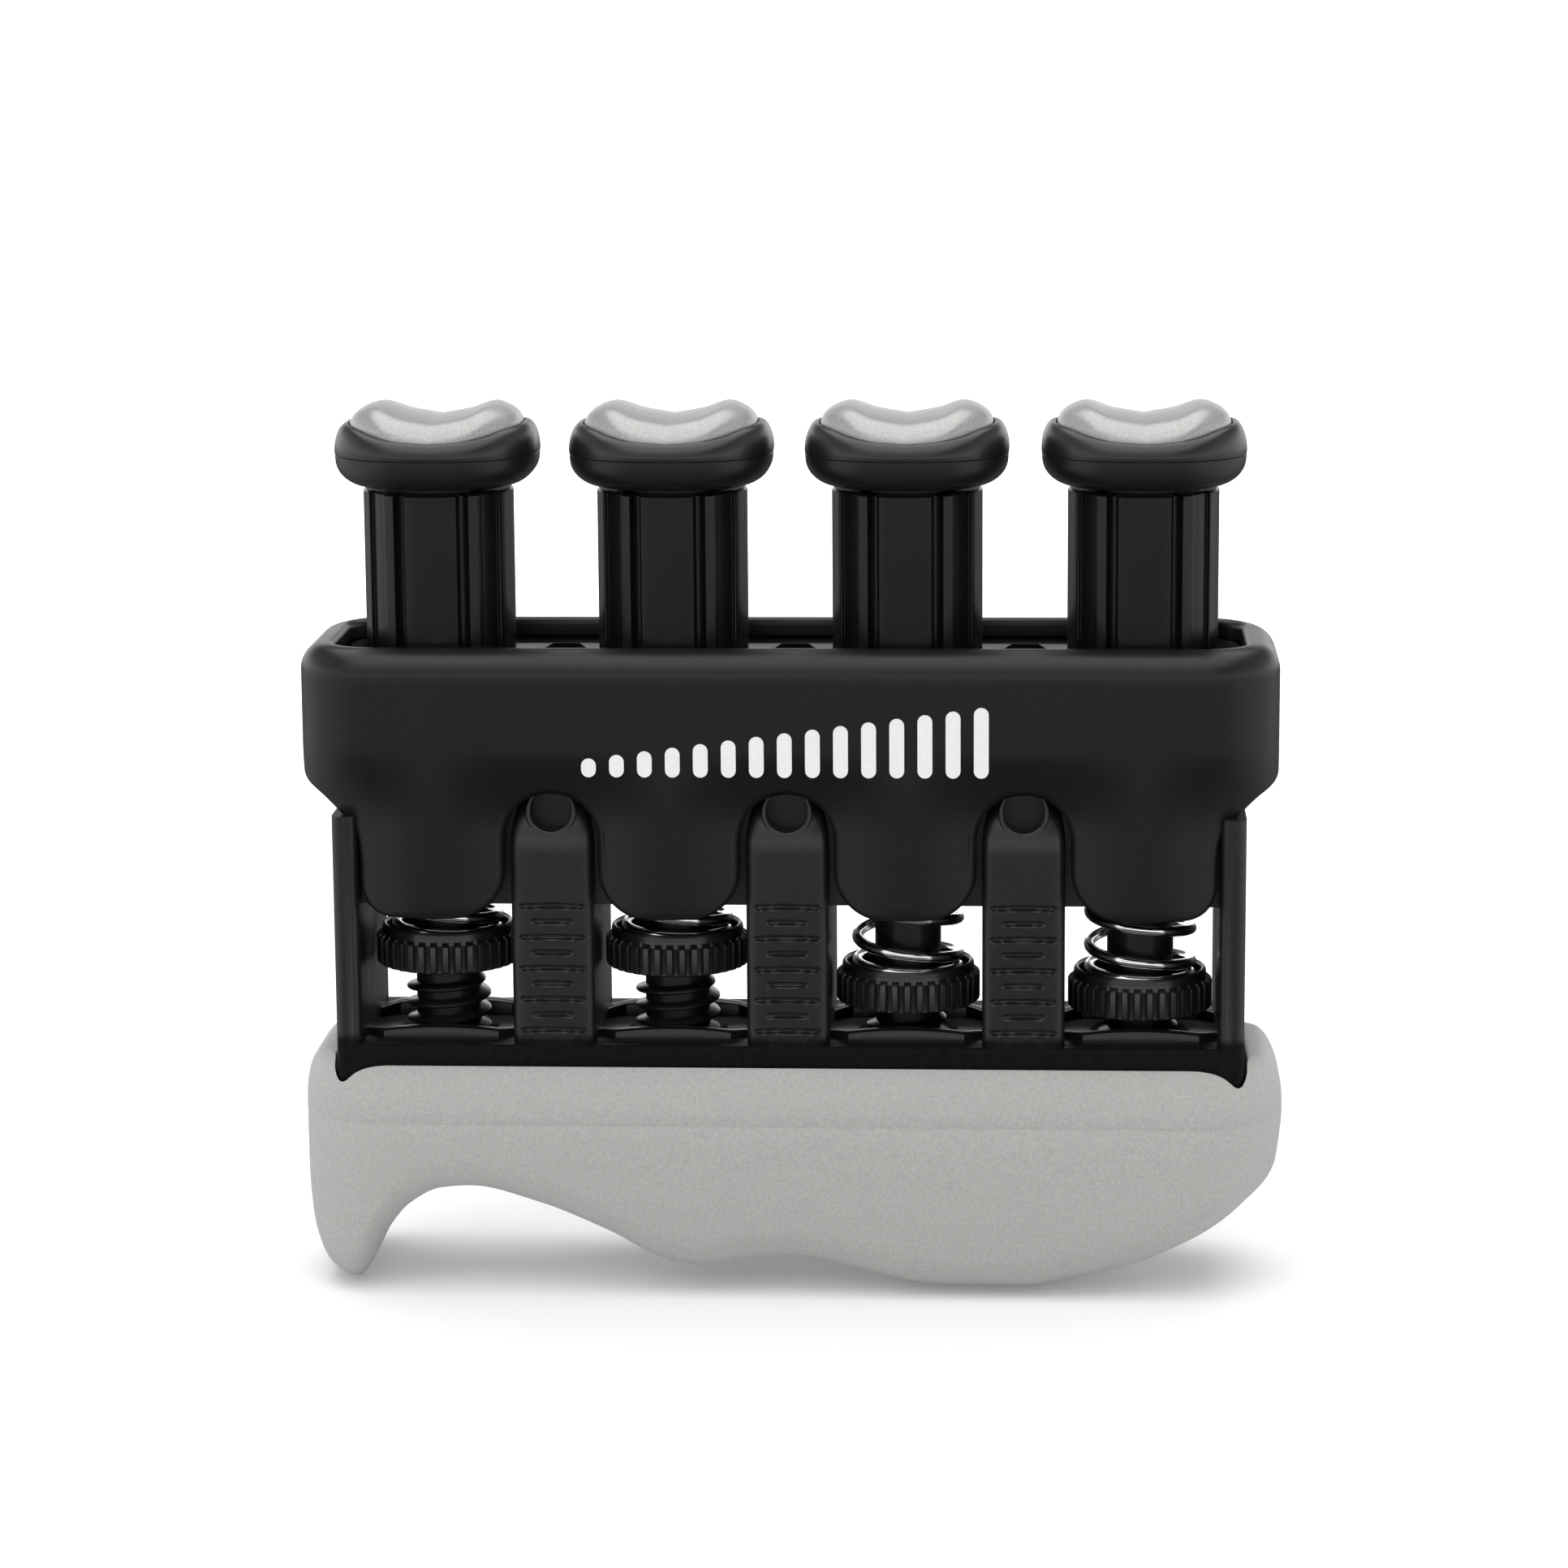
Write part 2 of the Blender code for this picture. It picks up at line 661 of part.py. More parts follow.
def main():
    clear_scene()
    black_satin = material("black_satin_plastic", (0.018, 0.018, 0.019), 0.42)
    black_frame = material("black_frame_plastic", (0.022, 0.022, 0.023), 0.38)
    black_gloss = material("black_gloss_plastic", (0.010, 0.010, 0.011), 0.22)
    dark_wheel = material("dark_grey_plastic", (0.030, 0.030, 0.031), 0.35)
    soft_grey = material("grey_soft_touch", (0.402, 0.407, 0.392), 0.62)
    pad_grey = material("silver_grey_pad", (0.52, 0.53, 0.53), 0.40)
    steel = material("dark_spring_steel", (0.30, 0.29, 0.28), 0.22, 1.0)
    housing(black_satin)
    frame(black_frame)
    palm_grip(soft_grey)
    plunger, cap, pad, adjuster = plunger_mesh(), cap_mesh(), pad_mesh(), adjuster_mesh()
    for n, x in enumerate(BUTTON_X, start=1):
        bottom = WHEEL_BOTTOM[n - 1]
        add(f"plunger_{n}", plunger, black_gloss, (x, 0, 0))
        add(f"button_cap_{n}", cap, black_satin, (x, 0, 0))
        add(f"finger_pad_{n}", pad, pad_grey, (x, 0, 0))
        wheel = add(f"adjuster_{n}", adjuster, dark_wheel, (x, 0, bottom))
        wheel.rotation_euler.z = math.radians(WHEEL_TURN[n - 1])
        coil = spring_mesh(f"spring_{n}", bottom + CUP_FLOOR + GAP, SEAT_Z - GAP)
        add(f"spring_{n}", coil, steel, (x, 0, 0))


main()
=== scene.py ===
"""Finger exerciser: the look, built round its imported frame.

The builders below work in millimetres, with +X along the row of buttons, -Y the front and +Z up.
They turn into metres as each mesh is made.
"""

import math

import bmesh
import bpy
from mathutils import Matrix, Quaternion, Vector


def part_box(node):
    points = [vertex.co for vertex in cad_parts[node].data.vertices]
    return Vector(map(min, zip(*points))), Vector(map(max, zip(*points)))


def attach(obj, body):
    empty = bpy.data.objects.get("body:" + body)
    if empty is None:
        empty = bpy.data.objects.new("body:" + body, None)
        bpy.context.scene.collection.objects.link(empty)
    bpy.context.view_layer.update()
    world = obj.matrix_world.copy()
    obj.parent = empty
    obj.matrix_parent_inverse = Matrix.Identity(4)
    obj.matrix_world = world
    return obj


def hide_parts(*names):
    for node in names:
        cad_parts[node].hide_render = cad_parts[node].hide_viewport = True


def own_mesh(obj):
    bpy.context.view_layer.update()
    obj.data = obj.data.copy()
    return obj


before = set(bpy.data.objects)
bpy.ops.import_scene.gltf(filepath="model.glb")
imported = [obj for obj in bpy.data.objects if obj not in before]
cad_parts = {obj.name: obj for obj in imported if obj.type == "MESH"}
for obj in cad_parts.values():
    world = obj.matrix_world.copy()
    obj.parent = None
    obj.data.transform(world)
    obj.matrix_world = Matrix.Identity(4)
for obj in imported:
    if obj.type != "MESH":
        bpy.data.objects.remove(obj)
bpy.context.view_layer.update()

MM = 0.001
FRONT, BACK = -1, 1
CLEARANCE = 0.3


def box(node):
    """A node's lowest and highest corner in millimetres."""
    low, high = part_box(node)
    return low / MM, high / MM


HOUSING_LOW, HOUSING_HIGH = box("housing")
FRAME_LOW, FRAME_HIGH = box("frame")
GRIP_HIGH = box("palm_grip")[1]
BUTTON_X = [(box(f"plunger_{n}")[0].x + box(f"plunger_{n}")[1].x) / 2 for n in range(1, 5)]
PITCH = BUTTON_X[1] - BUTTON_X[0]
COLUMN_X = [(a + b) / 2 for a, b in zip(BUTTON_X, BUTTON_X[1:])]


# ---------------------------------------------------------------- mesh tools


def new_mesh(name, bm, sharp=32):
    """A smooth mesh in metres, its edges sharp where they turn by more than an angle in degrees."""
    bmesh.ops.recalc_face_normals(bm, faces=bm.faces)
    bmesh.ops.scale(bm, vec=(MM, MM, MM), verts=bm.verts)
    mesh = bpy.data.meshes.new(name)
    bm.to_mesh(mesh)
    bm.free()
    mesh.shade_smooth()
    mesh.set_sharp_from_angle(angle=math.radians(sharp))
    return mesh


def add_loft(bm, rings, looped=False):
    """A skin over rings of equal length. Its ends are filled, or joined to each other if looped."""
    rows = [[bm.verts.new(point) for point in ring] for ring in rings]
    count = len(rows[0])
    for low, high in zip(rows, rows[1:] + rows[:1] if looped else rows[1:]):
        for i in range(count):
            j = (i + 1) % count
            bm.faces.new((low[i], low[j], high[j], high[i]))
    if not looped:
        bm.faces.new(rows[0])
        bm.faces.new(rows[-1])


def loft(name, *stacks, sharp=32):
    """One mesh made of closed skins, each over its own stack of rings."""
    bm = bmesh.new()
    for rings in stacks:
        add_loft(bm, rings)
    return new_mesh(name, bm, sharp)


def quarter_turn(steps):
    """Angles from 0 to 90 degrees, in radians."""
    return [math.pi / 2 * k / steps for k in range(steps + 1)]


def level(outline, z):
    """A flat outline set at a height."""
    return [(x, y, z) for x, y in outline]


def circle(radius, sides, centre=(0.0, 0.0)):
    turn = math.tau / sides
    return [
        (centre[0] + radius * math.cos(turn * i), centre[1] + radius * math.sin(turn * i))
        for i in range(sides)
    ]


def arc(centre, radius, start, end, steps):
    """Points along an arc, its angles in degrees."""
    angles = [math.radians(start + (end - start) * k / steps) for k in range(steps + 1)]
    return [(centre[0] + radius * math.cos(a), centre[1] + radius * math.sin(a)) for a in angles]


def rounded_rectangle(half_x, half_y, corner, steps=8, along=0):
    """An outline anticlockwise from the +X side, with points added along its straight sides."""
    points = []
    for quarter, (sx, sy) in enumerate([(1, 1), (-1, 1), (-1, -1), (1, -1)]):
        centre = (sx * (half_x - corner), sy * (half_y - corner))
        turn = arc(centre, corner, 90 * quarter, 90 * quarter + 90, steps)
        if points and along:
            points += between(points[-1], turn[0], along)
        points += turn
    if along:
        points += between(points[-1], points[0], along)
    return points


def between(start, end, count):
    """Points spaced evenly between two others."""
    shares = [k / (count + 1) for k in range(1, count + 1)]
    return [tuple(a + (b - a) * t for a, b in zip(start, end)) for t in shares]


def turned(profile, sides, centre=(0.0, 0.0)):
    """Rings of a round body from its (radius, height) profile."""
    return [level(circle(r, sides, centre), z) for r, z in profile]


def block(low, high):
    """Rings of a box between its lowest and highest corner."""
    corners = [(low[0], low[1]), (high[0], low[1]), (high[0], high[1]), (low[0], high[1])]
    return [level(corners, low[2]), level(corners, high[2])]


def resampled(points, spacing):
    """The same line with points at an even spacing."""
    lengths = [0.0]
    for a, b in zip(points, points[1:]):
        lengths.append(lengths[-1] + math.dist(a, b))
    count = max(2, round(lengths[-1] / spacing))
    out, k = [], 0
    for i in range(count + 1):
        wanted = lengths[-1] * i / count
        while k < len(points) - 2 and lengths[k + 1] < wanted:
            k += 1
        t = (wanted - lengths[k]) / max(1e-9, lengths[k + 1] - lengths[k])
        out.append(tuple(a + (b - a) * min(1.0, t) for a, b in zip(points[k], points[k + 1])))
    return out


def smoothstep(low, high, value):
    """0 below low and 1 above high, with a soft start and end between."""
    t = min(1.0, max(0.0, (value - low) / (high - low)))
    return t * t * (3 - 2 * t)


def curve_through(points, x):
    """Height at x of a smooth curve through the points that never runs past one of them."""
    rises = [(z1 - z0) / (x1 - x0) for (x0, z0), (x1, z1) in zip(points, points[1:])]
    slopes = [rises[0]]
    for before, after in zip(rises, rises[1:]):
        turns_here = before * after <= 0
        slopes.append(0.0 if turns_here else 2 * before * after / (before + after))
    slopes.append(rises[-1])
    x = min(max(x, points[0][0]), points[-1][0])
    k = next(k for k in range(len(rises)) if x <= points[k + 1][0])
    (x0, z0), (x1, z1) = points[k], points[k + 1]
    t = (x - x0) / (x1 - x0)
    start = (1 + 2 * t) * (1 - t) ** 2 * z0 + t * (1 - t) ** 2 * (x1 - x0) * slopes[k]
    return start + t * t * (3 - 2 * t) * z1 + t * t * (t - 1) * (x1 - x0) * slopes[k + 1]


def combined(name, base, steps, sharp=32):
    """A mesh with others joined to it or cut from it in turn, by (operation, mesh) pairs."""
    target = bpy.data.objects.new(name, base)
    bpy.context.scene.collection.objects.link(target)
    others = []
    for operation, mesh in steps:
        other = bpy.data.objects.new("cutter", mesh)
        bpy.context.scene.collection.objects.link(other)
        others.append(other)
        step = target.modifiers.new(operation, "BOOLEAN")
        step.operation = operation
        step.object = other
        step.solver = "MANIFOLD"
    graph = bpy.context.evaluated_depsgraph_get()
    made = bpy.data.meshes.new_from_object(target.evaluated_get(graph))
    made.name = name
    made.materials.clear()
    for item in [target, *others]:
        bpy.data.objects.remove(item, do_unlink=True)
    made.shade_smooth()
    made.set_sharp_from_angle(angle=math.radians(sharp))
    return made


def piece(name, mesh, body, finish, node, place=(0.0, 0.0, 0.0)):
    """An object that rides on a body and stands for one CAD node."""
    made = bpy.data.objects.new(name, mesh)
    made.location = Vector(place) * MM
    bpy.context.scene.collection.objects.link(made)
    if not mesh.materials:
        mesh.materials.append(finish)
    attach(made, body)
    if node:
        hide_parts(node)
    return made


# ---------------------------------------------------------------- housing

HOUSING_CORNER = 6.5
WALL = 1.6
RIM_ROUND = 2.3
RIM_WIDTH = 2.9
RIM_DEPTH = 1.5
LIP_ROUND = 0.6
EDGE_OUTSIDE = 0.7
EDGE_INSIDE = 0.3
ARCH_TOP = 43.8
ARCH_RADIUS = 4.0
SLEEVE_ROUND = 3.9
SLEEVE_OUTER_ROUND = 2.8
SLEEVE_OUTER_X = 36.4
SHOULDER = [(36.4, 38.0), (36.6, 39.6), (37.3, 41.0), (38.6, 42.2), (40.0, 43.4), (41.5, 44.7)]
FLUTE_DEPTH = 3.0
FLUTE_Z = (41.0, 47.6)
EDGE_SPACING = 0.36
OUTER_STEPS = 26
INNER_STEPS = 8


def plan_point(s, inset):
    """A point of the housing's plan at distance s round from the middle of one side."""
    straight = HOUSING_HIGH.x - HOUSING_CORNER
    across = HOUSING_HIGH.y - HOUSING_CORNER
    radius = HOUSING_CORNER - inset
    if s <= straight:
        return s, HOUSING_HIGH.y - inset
    angle = (s - straight) / HOUSING_CORNER
    if angle <= math.pi / 2:
        return straight + radius * math.sin(angle), across + radius * math.cos(angle)
    return HOUSING_HIGH.x - inset, across - (s - straight - HOUSING_CORNER * math.pi / 2)


def wall_point(s, z, inset):
    """A point of the housing's wall, with each sleeve rounded about its bore."""
    x, y = plan_point(s, inset)
    if inset >= WALL:
        x = min(x, FRAME_HIGH.x + CLEARANCE)
    off_axis = min(PITCH / 2, min(abs(x - centre) for centre in BUTTON_X))
    fall = FLUTE_DEPTH * (1 - math.cos(math.tau * off_axis / PITCH)) / 2
    share = 1 - smoothstep(*FLUTE_Z, z)
    return x, y * (1 - share * fall / HOUSING_HIGH.y), z


def along_plan(x):
    """Distance round the plan at which the wall reaches x."""
    straight = HOUSING_HIGH.x - HOUSING_CORNER
    if x <= straight:
        return x
    return straight + HOUSING_CORNER * math.asin(min(1.0, (x - straight) / HOUSING_CORNER))


def lower_edge():
    """The edge of sleeves and arches from the middle to one end, as distance round and height."""
    low = HOUSING_LOW.z
    spring = ARCH_TOP - ARCH_RADIUS
    points = arc((0, spring), ARCH_RADIUS, 90, 0, 20)
    for n, x in enumerate(BUTTON_X[2:]):
        half = PITCH / 2 - ARCH_RADIUS
        right = x + half if n == 0 else SLEEVE_OUTER_X
        right_round = SLEEVE_ROUND if n == 0 else SLEEVE_OUTER_ROUND
        points += arc((x - half + SLEEVE_ROUND, low + SLEEVE_ROUND), SLEEVE_ROUND, 180, 270, 16)
        points += arc((right - right_round, low + right_round), right_round, 270, 360, 16)
        if n == 0:
            points += arc((x + PITCH / 2, spring), ARCH_RADIUS, 180, 0, 40)
    knots = [(along_plan(x), z) for x, z in SHOULDER]
    first, last = knots[0][0], knots[-1][0]
    end = plan_length()
    rise = [(z, s) for s, z in knots]
    heights = [rise[0][0] + (rise[-1][0] - rise[0][0]) * k / 60 for k in range(61)]
    points += [(max(first, min(last, curve_through(rise, z))), z) for z in heights]
    points.append((end, rise[-1][0]))
    return resampled(points, EDGE_SPACING)


def plan_length():
    """Distance round the plan from the middle of one side to the middle of the end."""
    straight = HOUSING_HIGH.x - HOUSING_CORNER
    return straight + HOUSING_CORNER * math.pi / 2 + HOUSING_HIGH.y - HOUSING_CORNER


def moved_in(line, distance):
    """The line moved towards the material, which lies on its left."""
    out = []
    for k, (s, z) in enumerate(line):
        before, after = line[max(0, k - 1)], line[min(len(line) - 1, k + 1)]
        ds, dz = after[0] - before[0], after[1] - before[1]
        if k == 0 or k == len(line) - 1:
            dz = 0.0
        length = math.hypot(ds, dz)
        out.append((s - distance * dz / length, z + distance * ds / length))
    return out


def wall_run(start, end, steps, inset):
    """Wall points after a start and up to an end, each a distance round and a height."""
    points = between(start, end, steps - 1) + [end]
    return [wall_point(s, z, inset) for s, z in points]


def housing_sections():
    """The wall's closed section at each step round a quarter of the housing."""
    edge = lower_edge()
    outer, inner = moved_in(edge, EDGE_OUTSIDE), moved_in(edge, EDGE_INSIDE)
    top = HOUSING_HIGH.z
    shoulder, lip_under = top - RIM_ROUND, top - RIM_DEPTH
    rounded_out, rounded_in = [], []
    for a in quarter_turn(6):
        line = moved_in(edge, EDGE_OUTSIDE * (1 - math.cos(a)))
        rounded_out.append((line, EDGE_OUTSIDE * (1 - math.sin(a))))
    for a in quarter_turn(2):
        line = moved_in(edge, EDGE_INSIDE * (1 - math.cos(a)))
        rounded_in.append((line, WALL - EDGE_INSIDE * (1 - math.sin(a))))
    sections = []
    for k in range(len(edge)):
        s_top = plan_length() * k / (len(edge) - 1)
        section = [wall_point(*line[k], inset) for line, inset in rounded_out]
        section += wall_run(outer[k], (s_top, shoulder), OUTER_STEPS, 0.0)
        for a in quarter_turn(9)[1:]:
            z = shoulder + RIM_ROUND * math.sin(a)
            section.append(wall_point(s_top, z, RIM_ROUND * (1 - math.cos(a))))
        for a in quarter_turn(7)[1:]:
            inset = RIM_ROUND + (RIM_WIDTH - RIM_ROUND) * math.sin(a)
            section.append(wall_point(s_top, top - LIP_ROUND * (1 - math.cos(a)), inset))
        section.append(wall_point(s_top, lip_under, RIM_WIDTH))
        section.append(wall_point(s_top, lip_under, WALL + 0.05))
        section += wall_run((s_top, lip_under), inner[k], INNER_STEPS, WALL)
        section += [wall_point(*line[k], inset) for line, inset in reversed(rounded_in[:-1])]
        sections.append(section)
    return sections


def mirrored(sections, sx, sy):
    """The sections with X and Y multiplied by two signs."""
    return [[(sx * x, sy * y, z) for x, y, z in section] for section in sections]


def housing_mesh():
    """The shell's sections all the way round, from one quarter and its mirror images."""
    quarter = housing_sections()
    loop = mirrored(quarter, 1, FRONT)
    loop += mirrored(quarter, 1, BACK)[-2::-1]
    loop += mirrored(quarter, -1, BACK)[1:]
    loop += mirrored(quarter, -1, FRONT)[-2:0:-1]
    bm = bmesh.new()
    add_loft(bm, loop, looped=True)
    return new_mesh("housing_shell", bm, 40)


# ---------------------------------------------------------------- frame

RAIL_TOP = 22.0
RAIL_FLOOR = 21.5
LIP_TOP = 22.9
LIP_HALF = 4.85
WINDOW_HALF = 6.5
WINDOW_TOP = 33.8
DECK_LOW = 51.8
DECK_DISH = [(0.0, 0.3), (0.3, 0.0), (0.9, 0.0), (1.7, 0.46), (2.5, 0.83), (3.3, 1.12), (4.2, 1.33)]
BORE_RADIUS = 7.1
DECK_HOLE_RADIUS = 6.65
DECK_CORNER = 4.2
SLOT_WIDE = (1.95, 7.1, 0.8)
SLOT_NARROW = (1.65, 6.8, 0.7)
SLOT_DEPTH = (0.9, 1.9)
SLOT_HOLE = (1.3, 1.8, 2.7)
BASIN = (WINDOW_HALF, 4.55, 1.5)
END_POST = (1.1, 0.9)
GUIDE_RADIUS = 7.8
STEP_Z = 50.5
SCREW_HOLE_RADIUS = 3.95
SCREW_HOLE_BOTTOM = 12.4
COLUMN_HALF = PITCH / 2 - WINDOW_HALF
COLUMN_FACE = 0.55
DOME_Z = (38.6, 44.2)
POCKET_RADIUS = 1.8
POCKET_Z = 42.2
MARK_LOW = 23.4
MARK_PITCH = 1.35
MARK_COUNT = 9
MARK_LENGTHS = (5.5, 3.3)
MARK_HEIGHT = 0.42
MARK_DEPTH = 0.26
MARK_ARCH = 0.16
MARK_STEP = 0.07


def mark_depth(x, z):
    """Depth of the engraved scale marks at a place on a column's face."""
    arched = z + MARK_ARCH * (x / 2.75) ** 2
    row = round((arched - MARK_LOW) / MARK_PITCH)
    if not 0 <= row < MARK_COUNT:
        return 0.0
    half = MARK_LENGTHS[row % 2] / 2 - MARK_HEIGHT / 2
    away = math.hypot(max(0.0, abs(x) - half), arched - MARK_LOW - row * MARK_PITCH)
    return MARK_DEPTH * (1 - smoothstep(MARK_HEIGHT / 2 - 0.09, MARK_HEIGHT / 2 + 0.05, away))


def column_section(centre, z, across):
    """A column's plan outline at height z, rounded at its corners and bowed on both faces."""
    dome = max(0.0, z - DOME_Z[0]) / (DOME_Z[1] - DOME_Z[0])
    width = COLUMN_HALF * math.sqrt(max(0.0, 1 - 0.8 * dome**2.4))
    depth = FRAME_HIGH.y - 2.9 * dome**2.2
    ring = []
    for u in across:
        x = width * u
        bow = COLUMN_FACE * u * u + 0.75 * (1 - math.sqrt(1 - min(0.999, abs(u)) ** 10))
        y = depth - bow - mark_depth(x, z)
        ring.append((centre + x, -y, z))
    return ring + [(x, -y, z) for x, y, z in reversed(ring)]


def column_mesh(centre):
    """One middle column from inside the rail to its domed top, its points denser at both sides."""
    even = [2 * k / 60 - 1 for k in range(61)]
    across = [math.sin(math.pi / 2 * u) * 0.55 + 0.45 * u for u in even]
    heights = [RAIL_TOP - 4, MARK_LOW - 0.5]
    fine = int((MARK_PITCH * (MARK_COUNT - 1) + 1.2) / MARK_STEP)
    heights += [MARK_LOW - 0.45 + MARK_STEP * k for k in range(fine)]
    heights += [heights[-1] + (DOME_Z[0] - heights[-1]) * k / 6 for k in range(1, 7)]
    heights += [DOME_Z[0] + (DOME_Z[1] - DOME_Z[0]) * k / 30 for k in range(1, 31)]
    return loft("column", [column_section(centre, z, across) for z in heights], sharp=50)


def ring_lip(centre, side):
    """The raised ring round a column's pocket, thickest at its foot."""
    rings = []
    for k in range(40):
        turn = math.tau * k / 40
        foot = 0.5 - 0.5 * math.sin(turn)
        minor = 0.12 + 0.2 * foot
        out = Vector((math.cos(turn), 0, math.sin(turn)))
        middle = Vector((centre, side * (FRAME_HIGH.y - 1.35 + 0.75 * foot), POCKET_Z))
        middle += out * (POCKET_RADIUS + 0.16)
        rings.append(
            [
                middle + out * (minor * math.cos(a)) + Vector((0, minor * math.sin(a), 0))
                for a in (math.tau * i / 10 for i in range(10))
            ]
        )
    return rings


def basin_lip(centre, side):
    """The raised lip along one side of a screw's basin, its ends turned in at 45 degrees."""
    half = [(LIP_HALF + 0.1, 5.25), (WINDOW_HALF + 0.3, 3.7)]
    corners = [(-x, y) for x, y in reversed(half)] + half
    path = [corners[0]]
    for start, end, count in zip(corners, corners[1:], (2, 14, 2)):
        path += [*between(start, end, count), end]
    rings = []
    for x, y in path:
        top = LIP_TOP - 0.3 * (x / LIP_HALF) ** 2
        profile = [(-0.72, RAIL_TOP - 2), (-0.72, top - 0.4), (-0.6, top - 0.12), (-0.32, top)]
        profile += [(-dy, z) for dy, z in reversed(profile)]
        rings.append([(centre + x, side * (y + dy), z) for dy, z in profile])
    return rings


def octagon(x, half_x, half_y, cut):
    """A rectangle about x with its corners cut off at 45 degrees."""
    upper = [(half_x, half_y - cut), (half_x - cut, half_y)]
    upper += [(-px, py) for px, py in reversed(upper)]
    outline = upper + [(px, -py) for px, py in reversed(upper)]
    return [(x + px, py) for px, py in outline]


def softened(half_x, half_y, corner, low, high, edge, steps=5):
    """A slab with rounded upright corners and a rounded top edge."""
    rings = [level(rounded_rectangle(half_x, half_y, corner, steps), low)]
    for a in quarter_turn(4):
        inset = edge * (1 - math.cos(a))
        outline = rounded_rectangle(half_x - inset, half_y - inset, corner - inset, steps)
        rings.append(level(outline, high - edge * (1 - math.sin(a))))
    return rings


def button_bore(x):
    """What is cut away for one plunger: its bore, the step that stops it and the deck's hole."""
    top = FRAME_HIGH.z
    profile = [(BORE_RADIUS, WINDOW_TOP - 1), (BORE_RADIUS, STEP_Z), (DECK_HOLE_RADIUS, STEP_Z)]
    profile.append((DECK_HOLE_RADIUS, top - 0.3))
    profile += [(DECK_HOLE_RADIUS + 0.3, z) for z in (top + 0.01, top + 1)]
    return turned(profile, 72, (x, 0))


def screw_hole(x):
    """What is cut away for one screw, with a chamfer at the basin's floor."""
    profile = [(SCREW_HOLE_RADIUS, SCREW_HOLE_BOTTOM), (SCREW_HOLE_RADIUS, RAIL_FLOOR - 0.35)]
    profile += [(SCREW_HOLE_RADIUS + 0.35, z) for z in (RAIL_FLOOR, RAIL_TOP + 3)]
    return turned(profile, 48, (x, 0))


def deck_rings():
    """The deck, dished inside its level edge."""
    half_x, half_y = FRAME_HIGH.x, HOUSING_HIGH.y - WALL - CLEARANCE
    rings = [level(rounded_rectangle(half_x, half_y, DECK_CORNER), DECK_LOW)]
    for inset, fall in DECK_DISH:
        corner = max(1.0, DECK_CORNER - inset)
        outline = rounded_rectangle(half_x - inset, half_y - inset, corner)
        rings.append(level(outline, FRAME_HIGH.z - fall))
    return rings


def deck_slots(x):
    """The flared recess in the deck over one column, and the hole in its floor."""
    top = FRAME_HIGH.z
    wide, narrow = octagon(x, *SLOT_WIDE), octagon(x, *SLOT_NARROW)
    recess = [level(narrow, top - SLOT_DEPTH[1])]
    recess += [level(wide, z) for z in (top - SLOT_DEPTH[0], top + 1)]
    half_x, half_y, depth = SLOT_HOLE
    return [recess, block((x - half_x, -half_y, top - depth), (x + half_x, half_y, top + 1))]


def end_post(side):
    """The slim post at one end of the windows."""
    half, corner = END_POST
    middle = side * (FRAME_HIGH.x - half)
    outline = rounded_rectangle(half, FRAME_HIGH.y - 0.02, corner, 6)
    return [level([(middle + x, y) for x, y in outline], z) for z in (RAIL_TOP - 3, WINDOW_TOP + 8)]


def pocket(x, side):
    """The round pocket at the top of one column."""
    ring = circle(POCKET_RADIUS, 40)
    ends = (side * (FRAME_HIGH.y - 3.2), side * (FRAME_HIGH.y + 2))
    return [[(x + px, y, POCKET_Z + pz) for px, pz in ring] for y in ends]


def frame_mesh():
    """The rail and its basins, columns, guides, posts, deck and lips, then what is cut away."""
    half_x, half_y = FRAME_HIGH.x, FRAME_HIGH.y
    rail = loft("rail", softened(half_x, half_y, 1.2, FRAME_LOW.z, RAIL_TOP, 0.35))
    upper = rounded_rectangle(half_x - 0.4, half_y - 2.6, 1.0, 3)
    guide = [(GUIDE_RADIUS, WINDOW_TOP), (GUIDE_RADIUS, DECK_LOW + 0.5)]
    both_faces = [(x, side) for x in COLUMN_X for side in (FRONT, BACK)]
    basins = [[level(octagon(x, *BASIN), z) for z in (RAIL_FLOOR, RAIL_TOP + 4)] for x in BUTTON_X]
    cuts = [rings for x in BUTTON_X for rings in (button_bore(x), screw_hole(x))]
    steps = [("DIFFERENCE", loft("basins", *basins))]
    steps += [("UNION", column_mesh(x)) for x in COLUMN_X]
    steps.append(("UNION", loft("upper", [level(upper, WINDOW_TOP), level(upper, DECK_LOW + 1)])))
    steps += [("UNION", loft("guide", turned(guide, 72, (x, 0)))) for x in BUTTON_X]
    steps.append(("UNION", loft("ends", end_post(-1), end_post(1))))
    steps.append(("UNION", loft("deck", deck_rings())))
    for x in BUTTON_X:
        steps += [("UNION", loft("lip", basin_lip(x, side))) for side in (FRONT, BACK)]
    steps.append(("DIFFERENCE", loft("pockets", *[pocket(x, side) for x, side in both_faces])))
    steps.append(("DIFFERENCE", loft("cuts", *cuts)))
    steps += [("DIFFERENCE", loft("slot", rings)) for x in COLUMN_X for rings in deck_slots(x)]
    for x, side in both_faces:
        bm = bmesh.new()
        add_loft(bm, ring_lip(x, side), looped=True)
        steps.append(("UNION", new_mesh("ring", bm)))
    return combined("frame_body", rail, steps, 35)


# ---------------------------------------------------------------- palm grip

